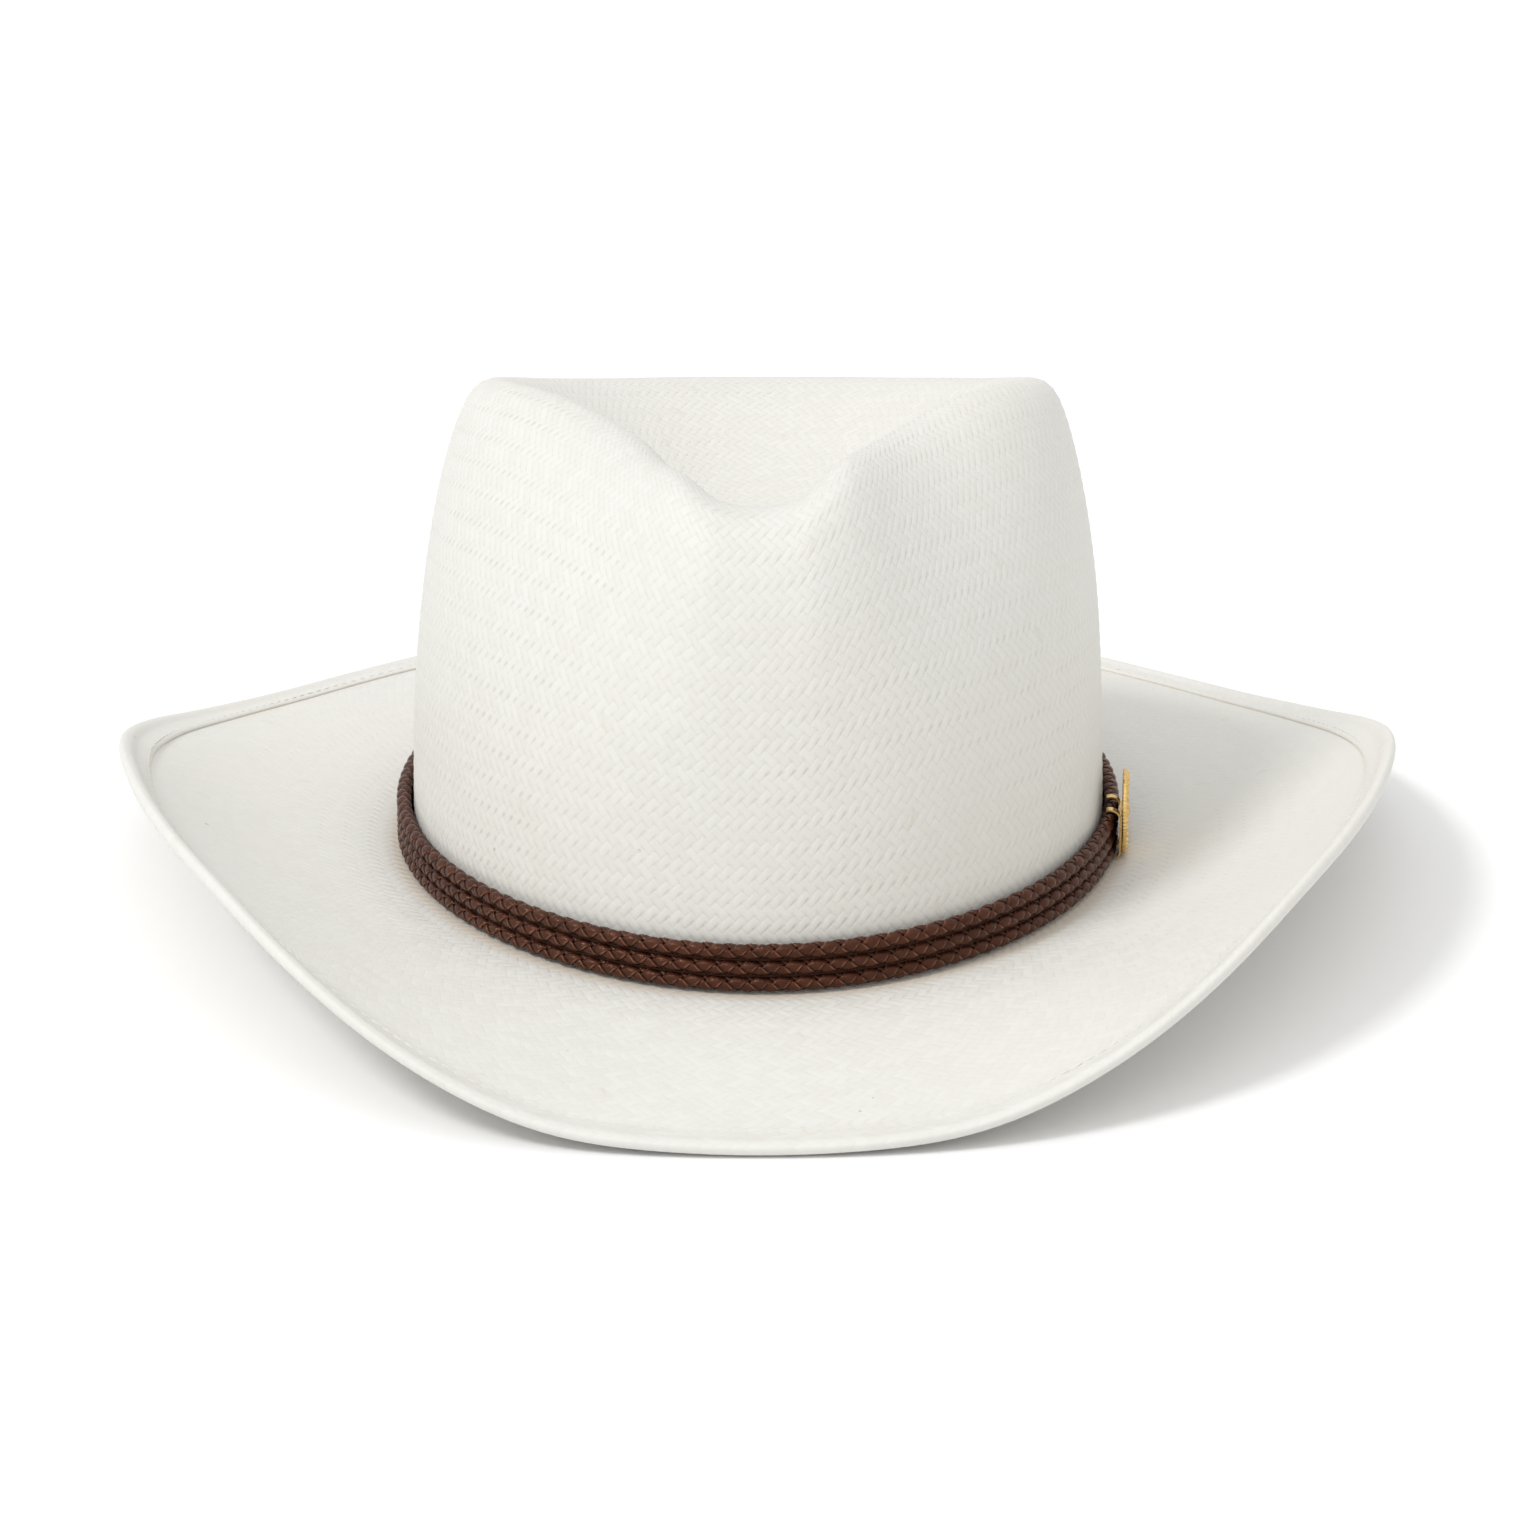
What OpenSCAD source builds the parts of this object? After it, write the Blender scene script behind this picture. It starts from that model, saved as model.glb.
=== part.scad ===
// Straw western hat: pinched teardrop crown, brim curled up at both sides,
// a band of three braided cords with a round medallion, and a sweatband inside.
// Front of the hat faces -Y, up is +Z, the brim's front and back rest on z = 0.
// Angles p around the hat: 0 = front, 90 = +X side, 180 = back.

/* [Head] */
// Half width of the straw at the break line between crown and brim
head_a = 85; // [78:0.5:95]
// Half length of the straw at the break line
head_b = 103.5; // [96:0.5:115]
// Height of the break line above the table
break_z = 10.1; // [10:0.1:14]
// Thickness of the woven straw
straw_t = 1.5; // [1.2:0.1:2]

/* [Crown] */
// Mean height of the ridge above the table
ridge_z = 118; // [105:1:135]
// How much higher the front of the ridge is than the back
ridge_tilt = 8; // [0:0.5:12]
// Half width of the ridge oval before it is pinched
ridge_a = 68; // [60:0.5:74]
// Half length of the ridge oval before it is pinched
ridge_b = 73; // [66:0.5:82]
// Depth of each finger pinch at the front of the ridge
pinch_depth = 22; // [0:1:26]
// Height of the floor of the teardrop dent
dent_z = 91; // [80:1:105]
// Roundness of the shoulder, larger is squarer
shoulder_n = 2.6; // [2:0.1:4]
// Sideways lean of the hand-blocked top
crown_lean = 1.5; // [0:0.5:3]

/* [Brim] */
// Mean brim width, measured along the straw
brim_w = 79; // [65:1:95]
// Mean slope of the brim at its edge, in degrees
edge_mean = 11; // [4:0.5:14]
// How strongly the sides curl up, in degrees
side_curl = 21.5; // [12:0.5:24]
// Width of the folded edge
fold_w = 9.5; // [7:0.5:12]
// Radius of the wire inside the folded edge
wire_r = 0.65; // [0.4:0.05:0.7]

/* [Band] */
// Radial half thickness of one braided cord
cord_a = 1.8; // [1.4:0.1:2.2]
// Vertical half thickness of one braided cord
cord_b = 1.95; // [1.5:0.05:2.2]
// Running gap between the band and the straw
band_gap = 0.3; // [0.3:0.05:0.6]
// Radius of the medallion
concho_r = 10.3; // [8:0.1:10.4]
// Distance of the medallion forward of the hat's middle
concho_y = 18; // [12:1:24]

/* [Sweatband] */
// Height of the leather strip
sweat_h = 32; // [24:1:38]
// Thickness of the leather strip
sweat_t = 0.9; // [0.6:0.1:1.2]
// Radius of the reed under the strip
reed_r = 1.1; // [0.8:0.1:1.3]

/* [Hidden] */
NA = 72;                       // stations around the hat
straw_col = [0.93, 0.92, 0.88];
cord_col = [0.28, 0.16, 0.12];
gold_col = [0.80, 0.62, 0.28];
leather_col = [0.55, 0.36, 0.22];
eps = 0.05;
mid_y = -2.3;                   // centres the outline, whose back is a little longer

// angle folded to 0..180 on either side of the front
function turn180(p) = p - 360 * floor((p + 180) / 360);
function fold180(p) = let(m = p - 360 * floor(p / 360)) m > 180 ? 360 - m : m;

// ---- break line, an oval that rises a little at the sides
function break_h(p) = break_z + 0.3 * cos(p) - 0.5 * cos(2 * p) - 0.3 * cos(4 * p);
function oval_n(p) = let(x = sin(p) / head_a, y = -cos(p) / head_b, m = norm([x, y])) [x / m, y / m];
// point on the oval moved out by r, at height z
function oval_pt(p, r, z) = let(n = oval_n(p))
    [head_a * sin(p) + r * n[0], mid_y - head_b * cos(p) + r * n[1], z];

// ---- brim: each section is an arc from slope brim_start to slope brim_end
function brim_width(p) = brim_w + 2.4 * cos(2 * p) - 7.2 * exp(-pow(fold180(p) / 20, 2));
function brim_end(p) = edge_mean + 12.8 * cos(p) - side_curl * cos(2 * p) - 13.8 * cos(3 * p) + 1.7 * cos(4 * p)
    - 0.8 * cos(6 * p)                                  // the low front and back lie flat
    + 8 * exp(-pow((fold180(p) - 45) / 19, 2))          // the curl runs well forward of the sides
    - 2.6 * exp(-pow((fold180(p) - 16) / 8, 2));        // and lets go again at the two front corners
function brim_start(p) = -1.1 - 1.2 * cos(2 * p);
function brim_k(p) = let(k = (brim_end(p) - brim_start(p)) / brim_width(p)) abs(k) < 0.001 ? 0.001 : k;
// s along the straw from the break line, t above its upper face
function brim_pt(p, s, t) = let(
    a = brim_start(p), k = brim_k(p), kr = k * PI / 180, th = a + k * s,
    r = (sin(th) - sin(a)) / kr - t * sin(th),
    z = (cos(a) - cos(th)) / kr + t * cos(th),
    q = oval_pt(p, r, break_h(p) + z))
    [q[0], q[1], max(0, q[2])];

// ---- crown wall: h from 0 at the break line to 1 on the ridge
function ridge_h(p) = ridge_z + ridge_tilt * cos(p) - 6.5 * cos(2 * p) - 2.3 * cos(3 * p)
    + 3.2 * exp(-pow((fold180(p) - 17) / 8, 2))         // keeps the front of the ridge a V
    - 1.8 * exp(-pow((fold180(p) - 52) / 14, 2))        // with long flanks
    - 1.5 * exp(-pow((180 - fold180(p)) / 50, 2))       // and its back level
    + 3.2 * exp(-pow((turn180(p) - 24) / 12, 2));       // the right pinch stands a little higher
// the pinch begins 8 degrees from the middle, so the nose between the two pinches stays flat
function pinch(p) = let(q = fold180(p)) q > 8 && q < 115
    ? pinch_depth * pow(sin(180 * pow((q - 8) / 107, 0.69)), 2) : 0;
function wall_in(h) = 0.08 * h + 0.92 * (1 - pow(1 - pow(min(h, 1), shoulder_n), 1 / shoulder_n));
function wall_pt(p, h) = let(
    hh = max(h, 0), s = wall_in(hh), g = pow(hh, 3) * pinch(p),
    nx = sin(p) / ridge_a, ny = -cos(p) / ridge_b, m = norm([nx, ny]),
    ox = ridge_a * sin(p), oy = 6 - (ridge_b + 8 * cos(p)) * cos(p))
    [(1 - s) * head_a * sin(p) + s * ox - g * nx / m + crown_lean * pow(sin(p), 2) * hh * hh,
     mid_y - (1 - s) * head_b * cos(p) + s * oy - g * ny / m,
     break_h(p) + h * (ridge_h(p) - break_h(p))];
// ---- dent: v from 0 on the ridge to 1 at its lowest point
function dent_pt(p, v) = let(r = wall_pt(p, 1), f = (1 - cos(180 * pow(v, 0.7))) / 2)
    [r[0] * (1 - v), r[1] * (1 - v) + (mid_y - 5) * v, r[2] * (1 - f) + dent_z * f];
// one parameter u for both: 0..1 wall, 1..2 dent
function crown_pt(p, u) = u <= 1 ? wall_pt(p, u) : dent_pt(p, u - 1);
function crown_n(p, u) = let(
    du = 0.004, a = crown_pt(p + 0.5, u) - crown_pt(p - 0.5, u),
    b = crown_pt(p, min(u + du, 1.995)) - crown_pt(p, max(u - du, 0.0)),
    c = cross(a, b)) c / norm(c);
function crown_in(p, u) = crown_pt(p, u) - straw_t * crown_n(p, u);

// ---- sweeping helpers
// closed loops of equal length, one at each station, joined into a ring
module ring_sweep(loops) {
    n = len(loops); m = len(loops[0]);
    pts = [for (l = loops) for (q = l) q];
    polyhedron(points = pts, faces = [for (i = [0:n - 1]) for (j = [0:m - 1]) let(
        a = i * m + j, b = i * m + (j + 1) % m,
        c = ((i + 1) % n) * m + (j + 1) % m, d = ((i + 1) % n) * m + j)
        each [[a, b, c], [a, c, d]]], convexity = 8);
}
// a round or oval cord that follows the oval at offset r and height z above the break line
module oval_cord(r, z, ra, rb, sides = 8) {
    ring_sweep([for (i = [0:NA - 1]) let(p = i * 360 / NA)
        [for (k = [0:sides - 1]) let(a = -(k + 0.5) * 360 / sides)
            oval_pt(p, r + ra * cos(a), break_h(p) + z + rb * sin(a))]]);
}
// the same along the brim, at distance e from its outer edge
module brim_cord(e, t, rr, sides = 6) {
    ring_sweep([for (i = [0:NA - 1]) let(p = i * 360 / NA, w = brim_width(p))
        [for (k = [0:sides - 1]) let(a = -k * 360 / sides)
            brim_pt(p, w - e + rr * cos(a), t + rr * sin(a))]]);
}

// ---- sub-parts
crown_rows = [0, 0.12, 0.24, 0.36, 0.47, 0.57, 0.66, 0.74, 0.81, 0.87, 0.92, 0.96, 0.985, 1.0,
              1.05, 1.11, 1.19, 1.29, 1.41, 1.56, 1.75];

crown_nr = len(crown_rows) + 1;
function vo(j, i) = j * NA + (i % NA);
function vi(j, i) = (crown_nr + j) * NA + (i % NA);
module crown() color(straw_col) {
    k = len(crown_rows);
    ps = [for (i = [0:NA - 1]) i * 360 / NA];
    outer = concat([[for (p = ps) let(q = wall_pt(p, 0)) [q[0], q[1], q[2] - straw_t]]],
                   [for (u = crown_rows) [for (p = ps) crown_pt(p, u)]]);
    inner = concat([[for (p = ps) oval_pt(p, -straw_t, break_h(p) - straw_t)]],
                   [[for (p = ps) oval_pt(p, -straw_t, break_h(p))]],
                   [for (j = [1:k - 1]) [for (p = ps) crown_in(p, crown_rows[j])]]);
    nr = crown_nr;
    pole_o = 2 * nr * NA;
    pole_i = pole_o + 1;
    pts = concat([for (r = outer) each r], [for (r = inner) each r],
                 [[0, mid_y - 5, dent_z], [0, mid_y - 5, dent_z - straw_t]]);
    polyhedron(points = pts, convexity = 8, faces = concat(
        [for (j = [0:nr - 2]) for (i = [0:NA - 1])
            each [[vo(j, i), vo(j + 1, i), vo(j + 1, i + 1)], [vo(j, i), vo(j + 1, i + 1), vo(j, i + 1)]]],
        [for (i = [0:NA - 1]) [vo(nr - 1, i), pole_o, vo(nr - 1, i + 1)]],
        [for (j = [0:nr - 2]) for (i = [0:NA - 1])
            each [[vi(j, i), vi(j + 1, i + 1), vi(j + 1, i)], [vi(j, i), vi(j, i + 1), vi(j + 1, i + 1)]]],
        [for (i = [0:NA - 1]) [vi(nr - 1, i), vi(nr - 1, i + 1), pole_i]],
        [for (i = [0:NA - 1]) each [[vo(0, i), vo(0, i + 1), vi(0, i + 1)], [vo(0, i), vi(0, i + 1), vi(0, i)]]]));
}

// Brim section: one sheet whose rim turns up round the wire and lies back on its upper face.
// Entries are [fraction of the plain part, distance past it, height above the sheet's upper face].
rim = fold_w + 1;
bead = 1.85;
fold_loop = [
    [0, eps, 0], [0.2, 0, 0], [0.4, 0, 0], [0.6, 0, 0], [0.8, 0, 0], [1, 0, 0],
    [1, rim - bead - 2.6, 0], [1, rim - bead, 0], [1, rim - bead + 0.55, 0.22], [1, rim - bead + 0.78, 0.76],
    [1, rim - bead + 0.55, 1.3], [1, rim - bead, 1.52], [1, rim - bead - 1.1, 1.2], [1, rim - bead - 2.4, 0.4],
    [1, rim - bead - 3.6, 0.06], [1, 1.1, 0.06], [1, 0.9, 0.35], [1, 1.1, 0.8], [1, 1.5, 0.95],
    [1, rim - bead - 3.4, 1.0], [1, rim - bead - 2.1, 1.4], [1, rim - bead - 1.1, 2.1],
    [1, rim - bead, 2.4], [1, rim - bead + 0.95, 2.1], [1, rim - bead + 1.6, 1.4], [1, rim - bead + 1.85, 0.5],
    [1, rim - bead + 1.6, -0.4], [1, rim - bead + 0.95, -1.1], [1, rim - bead, -straw_t],
    [1, 0, -straw_t], [0.75, 0, -straw_t], [0.5, 0, -straw_t], [0.25, 0, -straw_t], [0, eps, -straw_t]];

module brim() color(straw_col)
    ring_sweep([for (i = [0:NA - 1]) let(p = i * 360 / NA, w = brim_width(p) - rim)
        [for (q = fold_loop) brim_pt(p, q[0] * w + q[1], q[2])]]);

module brim_wire() color([0.7, 0.7, 0.72]) brim_cord(bead, 0.76, wire_r, 6);

module edge_stitching() color([0.80, 0.76, 0.68]) brim_cord(fold_w - 1.4, 1.24, 0.24, 4);

// Leather strip standing inside the crown: [height fraction, inset from the oval]
sweat_rows = [[0, 1.8], [0.33, 2.1], [0.66, 2.8], [1, 3.8]];
module sweatband() color(leather_col)
    ring_sweep([for (i = [0:NA - 1]) let(p = i * 360 / NA, b = break_h(p) - 0.3)
        concat([for (q = sweat_rows) oval_pt(p, -q[1], b + q[0] * sweat_h)],
               [for (j = [3:-1:0]) oval_pt(p, -sweat_rows[j][1] - sweat_t, b + sweat_rows[j][0] * sweat_h)])]);

module sweatband_reed() color([0.85, 0.82, 0.74])
    oval_cord(-straw_t - 0.15 - reed_r, -0.35 - reed_r, reed_r, reed_r, 6);

module sweatband_stitching() color([0.88, 0.84, 0.74])
    oval_cord(-1.8 - sweat_t - 0.34, 3.2, 0.24, 0.24, 4);

// Small ribbon bow that closes the strip at the back
module bow_loop() {
    rotate([90, 0, 0]) linear_extrude(2.4, center = true) difference() {
        hull() { circle(r = 0.9, $fn = 24); translate([8, 1.6]) circle(r = 2.6, $fn = 32); }
        hull() { translate([1.6, 0.3]) circle(r = 0.35, $fn = 24); translate([8, 1.6]) circle(r = 2.05, $fn = 32); }
    }
}
module bow_tail() {
    rotate([90, 0, 0]) linear_extrude(2.4, center = true)
        hull() { circle(r = 0.5, $fn = 24); translate([5, -6]) circle(r = 0.35, $fn = 24); }
}
module sweatband_bow() color([0.30, 0.20, 0.15])
    translate([0, mid_y + head_b - 1.8 - sweat_t - 2.6, break_z + 8.5]) {
        union() { bow_loop(); mirror([1, 0, 0]) bow_loop(); bow_tail(); mirror([1, 0, 0]) bow_tail();
            rotate([90, 0, 0]) cylinder(h = 4.2, r = 1.5, center = true, $fn = 32); }
    }

// Blank tag beside the bow, standing against the strip
module size_tag() color([0.94, 0.93, 0.90])
    let(p = 156, n = oval_n(156), q = oval_pt(156, -4.1, break_z + 5))
    translate(q) rotate([0, 0, atan2(n[1], n[0])]) rotate([0, -4, 0])
        translate([-0.15, -8, 0]) cube([0.3, 16, 13]);

// Three cords, stacked against the foot of the crown
cord_r = band_gap + cord_a;
function cord_z(i) = 0.35 + cord_b + i * (2 * cord_b + 0.08);
module band_cord_bottom() color(cord_col) oval_cord(cord_r, cord_z(0), cord_a, cord_b);
module band_cord_middle() color(cord_col) oval_cord(cord_r, cord_z(1), cord_a, cord_b);
module band_cord_top() color(cord_col) oval_cord(cord_r, cord_z(2), cord_a, cord_b);

// Medallion frame: X out of the hat, at the oval on the +X side
concho_x = head_a * sqrt(1 - pow(concho_y / head_b, 2));
concho_turn = -4;
concho_foot = 10.4;            // break line height at the medallion, rounded
concho_z = concho_foot + 0.55 + concho_r;
module at_concho() translate([concho_x, mid_y - concho_y, 0]) rotate([0, 0, concho_turn]) children();
module disc(r, x0, x1) translate([x0, 0, 0]) rotate([0, 90, 0]) cylinder(h = x1 - x0, r = r, $fn = 96);

// turned profile of the medallion: [radius, distance out of the hat]
concho_profile = concat(
    [[1.56, 5.4], [1.56, 6.05], [0, 6.05]],
    [for (i = [0:6]) let(a = 26 * i / 6) [6.0 * sin(a), 0.6 + 6.0 * cos(a)]],
    [[2.8, 5.9], [concho_r - 3.6, 5.9], [concho_r - 3.5, 6.1], [concho_r - 3.2, 6.1], [concho_r - 3.1, 5.9],
     [concho_r - 2.3, 5.9], [concho_r - 2.2, 6.15], [concho_r - 0.2, 6.15], [concho_r, 5.95],
     [concho_r, 5.1], [concho_r - 0.1, 5.0], [concho_r - 1.9, 5.0], [concho_r - 2.0, 5.4]]);
module concho() color(gold_col) at_concho() translate([0, 0, concho_z]) union() {
    rotate([0, 90, 0]) rotate_extrude($fn = 96) polygon(concho_profile);
    // beads round the rim
    for (i = [0:29]) rotate([i * 12, 0, 0]) translate([6.12, 0, concho_r - 1.15]) sphere(r = 0.52, $fn = 24);
    // eight rays round the domed centre
    for (i = [0:7]) rotate([i * 45, 0, 0]) translate([5.9, 0, 3.1]) cylinder(h = 3.2, r = 0.4, $fn = 24);
}

module concho_post() color(gold_col) at_concho() translate([0, 0, concho_z]) disc(1.5, 4.85, 6.0);

// Keeper: a plate behind the medallion with two hooks over the top cord and two under the bottom one
module hook(zc, a0, a1) {
    translate([cord_r, 0, zc]) rotate([90, 0, 0]) linear_extrude(2.2, center = true)
        difference() {
            circle(r = 2.75, $fn = 64);
            circle(r = 2.35, $fn = 64);
            // keep only the arc from a0 to a1
            polygon(concat([[0, 0]], [for (i = [0:8]) 6 * [cos(a1 + i * (360 + a0 - a1) / 8), sin(a1 + i * (360 + a0 - a1) / 8)]]));
        }
}
module concho_keeper() color(gold_col) at_concho() {
    z0 = concho_foot + cord_z(0);
    z2 = concho_foot + cord_z(2);
    difference() {
        translate([4.45, -5.6, z0]) cube([0.4, 11.2, z2 - z0 + 1.6]);
    }
    for (y = [-4.5, 4.5]) translate([0, y, 0]) { hook(z2, 0, 112); hook(z0, -40, 0); }
}

crown();
brim();
brim_wire();
edge_stitching();
sweatband();
sweatband_reed();
sweatband_stitching();
sweatband_bow();
size_tag();
band_cord_top();
band_cord_middle();
band_cord_bottom();
concho();
concho_keeper();
concho_post();
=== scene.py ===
import math

import bpy
import numpy as np
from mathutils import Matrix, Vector


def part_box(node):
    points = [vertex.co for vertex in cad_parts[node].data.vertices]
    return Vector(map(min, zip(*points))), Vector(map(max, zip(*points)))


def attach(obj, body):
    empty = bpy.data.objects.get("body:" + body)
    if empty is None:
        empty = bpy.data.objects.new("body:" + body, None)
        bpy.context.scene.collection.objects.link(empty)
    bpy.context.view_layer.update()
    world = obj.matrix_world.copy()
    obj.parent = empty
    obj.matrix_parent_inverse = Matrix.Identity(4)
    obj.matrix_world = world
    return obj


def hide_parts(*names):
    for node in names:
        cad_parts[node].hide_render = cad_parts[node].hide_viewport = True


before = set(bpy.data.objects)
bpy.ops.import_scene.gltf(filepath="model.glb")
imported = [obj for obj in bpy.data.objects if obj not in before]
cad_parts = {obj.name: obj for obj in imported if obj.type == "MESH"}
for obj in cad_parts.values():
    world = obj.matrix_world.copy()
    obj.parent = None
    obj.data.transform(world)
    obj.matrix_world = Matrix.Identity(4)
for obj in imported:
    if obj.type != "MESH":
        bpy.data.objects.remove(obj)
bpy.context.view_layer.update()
rng = np.random.default_rng(11)

# ------------------------------------------------------------------ the hat's surface, in mm and degrees
# the same functions as part.scad: p is the angle round the hat, 0 = front (-Y), 90 = +X side
A, B, BZ, TH, MIDY = 85.0, 103.5, 10.1, 1.5, -2.3
FOLD, BEAD = 10.5, 1.85


def cosd(a):
    return np.cos(np.radians(a))


def sind(a):
    return np.sin(np.radians(a))


def fold180(p):
    m = np.mod(p, 360.0)
    return np.where(m > 180, 360 - m, m)


def turn180(p):
    return p - 360 * np.floor((p + 180) / 360)


def break_h(p):
    return BZ + 0.3 * cosd(p) - 0.5 * cosd(2 * p) - 0.3 * cosd(4 * p)


def oval_n(p):
    x, y = sind(p) / A, -cosd(p) / B
    m = np.hypot(x, y)
    return x / m, y / m


def oval_pt(p, r, z):
    nx, ny = oval_n(p)
    x = A * sind(p) + r * nx
    y = MIDY - B * cosd(p) + r * ny
    return np.stack(np.broadcast_arrays(x, y, z), -1)


def brim_width(p):
    return 79 + 2.4 * cosd(2 * p) - 7.2 * np.exp(-((fold180(p) / 20) ** 2))


def brim_end(p):
    q = fold180(p)
    e = 11 + 12.8 * cosd(p) - 21.5 * cosd(2 * p) - 13.8 * cosd(3 * p) + 1.7 * cosd(4 * p) - 0.8 * cosd(6 * p)
    return e + 8 * np.exp(-(((q - 45) / 19) ** 2)) - 2.6 * np.exp(-(((q - 16) / 8) ** 2))


def brim_start(p):
    return -1.1 - 1.2 * cosd(2 * p)


def brim_pt(p, s, t):
    a = brim_start(p)
    k = (brim_end(p) - a) / brim_width(p)
    k = np.where(np.abs(k) < 0.001, 0.001, k)
    kr = np.radians(k)
    th = a + k * s
    r = (sind(th) - sind(a)) / kr - t * sind(th)
    z = (cosd(a) - cosd(th)) / kr + t * cosd(th)
    q = oval_pt(p, r, break_h(p) + z)
    q[..., 2] = np.maximum(q[..., 2], 0)
    return q


def ridge_h(p):
    h = 118 + 8 * cosd(p) - 6.5 * cosd(2 * p) - 2.3 * cosd(3 * p) + 3.2 * np.exp(-(((fold180(p) - 17) / 8) ** 2))
    h = h - 1.8 * np.exp(-(((fold180(p) - 52) / 14) ** 2)) - 1.5 * np.exp(-(((180 - fold180(p)) / 50) ** 2))
    return h + 3.2 * np.exp(-(((turn180(p) - 24) / 12) ** 2))


def pinch(p):
    q = fold180(p)
    return 22 * sind(180 * ((np.clip(q, 8, 115) - 8) / 107) ** 0.69) ** 2


def wall_in(h):
    return 0.08 * h + 0.92 * (1 - (1 - np.minimum(h, 1) ** 2.6) ** (1 / 2.6))


def wall_pt(p, h):
    h = np.clip(h, 0, 1)
    s = wall_in(h)
    g = h**3 * pinch(p)
    nx, ny = sind(p) / 68, -cosd(p) / 73
    m = np.hypot(nx, ny)
    ox, oy = 68 * sind(p), 6 - (73 + 8 * cosd(p)) * cosd(p)
    x = (1 - s) * A * sind(p) + s * ox - g * nx / m + 1.5 * sind(p) ** 2 * h**2
    y = MIDY - (1 - s) * B * cosd(p) + s * oy - g * ny / m
    z = break_h(p) + h * (ridge_h(p) - break_h(p))
    return np.stack([x, y, z], -1)


def dent_pt(p, v):
    r = wall_pt(p, np.ones_like(p))
    f = (1 - cosd(180 * v**0.7)) / 2
    return np.stack([r[..., 0] * (1 - v), r[..., 1] * (1 - v) + (MIDY - 5) * v, r[..., 2] * (1 - f) + 91 * f], -1)


# arc-length fraction round the base oval, which the weave is counted along
fine = np.linspace(0, 360, 7201)
fp = oval_pt(fine, 0.0, 0.0)
flen = np.concatenate([[0], np.cumsum(np.linalg.norm(np.diff(fp, axis=0), axis=1))])
OVAL = flen[-1]


def around(p):
    return np.interp(p, fine, flen) / OVAL


def at_length(f):
    return np.interp(np.mod(f, 1.0), flen / OVAL, fine)


# ------------------------------------------------------------------ mesh helpers (mm in, metres out)
def new_object(name, verts, faces, uv=None, attrs=None, smooth=True):
    me = bpy.data.meshes.new(name)
    me.from_pydata((np.asarray(verts, float) / 1000.0).tolist(), [], [list(map(int, f)) for f in faces])
    if uv is not None:
        layer = me.uv_layers.new(name="weave")
        layer.data.foreach_set("uv", np.asarray(uv, np.float32).ravel())
    for key, val in (attrs or {}).items():
        a = me.attributes.new(key, "FLOAT", "POINT")
        a.data.foreach_set("value", np.asarray(val, np.float32).ravel())
    if smooth:
        me.polygons.foreach_set("use_smooth", [True] * len(me.polygons))
    me.update()
    ob = bpy.data.objects.new(name, me)
    bpy.context.collection.objects.link(ob)
    return ob


def grid(nr, nc, close_r=False, close_c=True, base=0):
    """Quads of an nr x nc grid of vertices, row-major."""
    r1 = nr if close_r else nr - 1
    c1 = nc if close_c else nc - 1
    i, j = np.meshgrid(np.arange(r1), np.arange(c1), indexing="ij")
    a = i * nc + j
    b = i * nc + (j + 1) % nc
    c = ((i + 1) % nr) * nc + (j + 1) % nc
    d = ((i + 1) % nr) * nc + j
    return np.stack([a, b, c, d], -1).reshape(-1, 4) + base, i.ravel(), j.ravel()


def smoothstep(a, b, x):
    t = np.clip((x - a) / (b - a), 0, 1)
    return t * t * (3 - 2 * t)


def loft(rows, close_r=True, close_c=True, flip=False):
    """Vertices and faces of rows (nr, nc, 3)."""
    rows = np.asarray(rows)
    nr, nc = rows.shape[:2]
    f, _, _ = grid(nr, nc, close_r, close_c)
    if flip:
        f = f[:, ::-1]
    return rows.reshape(-1, 3), f


class Parts:
    """Collects several lofts into one mesh."""

    def __init__(self):
        self.v, self.f, self.n, self.at, self.uv = [], [], 0, [], []

    def add(self, v, f, at=None, uv=None):
        self.v.append(np.asarray(v).reshape(-1, 3))
        self.f.extend((np.asarray(q) + self.n).tolist() for q in f)
        self.n += len(self.v[-1])
        self.at.append(np.zeros(len(self.v[-1])) if at is None else np.asarray(at).ravel())
        if uv is not None:
            self.uv.append(np.asarray(uv).reshape(-1, 2))

    def make(self, name, attr="tone"):
        uv = np.concatenate(self.uv) if self.uv else None
        return new_object(name, np.concatenate(self.v), self.f, uv=uv, attrs={attr: np.concatenate(self.at)})


def tube(points, normals, binormals, prof, at=None, closed=False):
    """Sweeps the closed profile prof (k, 2) along points; (k) columns, ends capped unless closed."""
    pts = points[:, None, :] + prof[None, :, 0:1] * normals[:, None, :] + prof[None, :, 1:2] * binormals[:, None, :]
    v, f = loft(pts, close_r=closed, close_c=True)
    f = f.tolist()
    if not closed:
        k = len(prof)
        f.append(list(range(k)))
        f.append(list(range(len(v) - 1, len(v) - 1 - k, -1)))
    return v, f


def soft_tube(points, radii, normals, binormals, sides=8, squeeze=1.0):
    """Round-ended tube with its own radius at each station."""
    a = np.arange(sides) * 2 * np.pi / sides
    ring = np.stack([np.cos(a), np.sin(a) * squeeze], -1)
    pts = points[:, None, :] + radii[:, None, None] * (
        ring[None, :, 0:1] * normals[:, None, :] + ring[None, :, 1:2] * binormals[:, None, :]
    )
    v, f = loft(pts, close_r=False, close_c=True)
    f = f.tolist()
    f.append(list(range(sides)))
    f.append(list(range(len(v) - 1, len(v) - 1 - sides, -1)))
    return v, f


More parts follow.
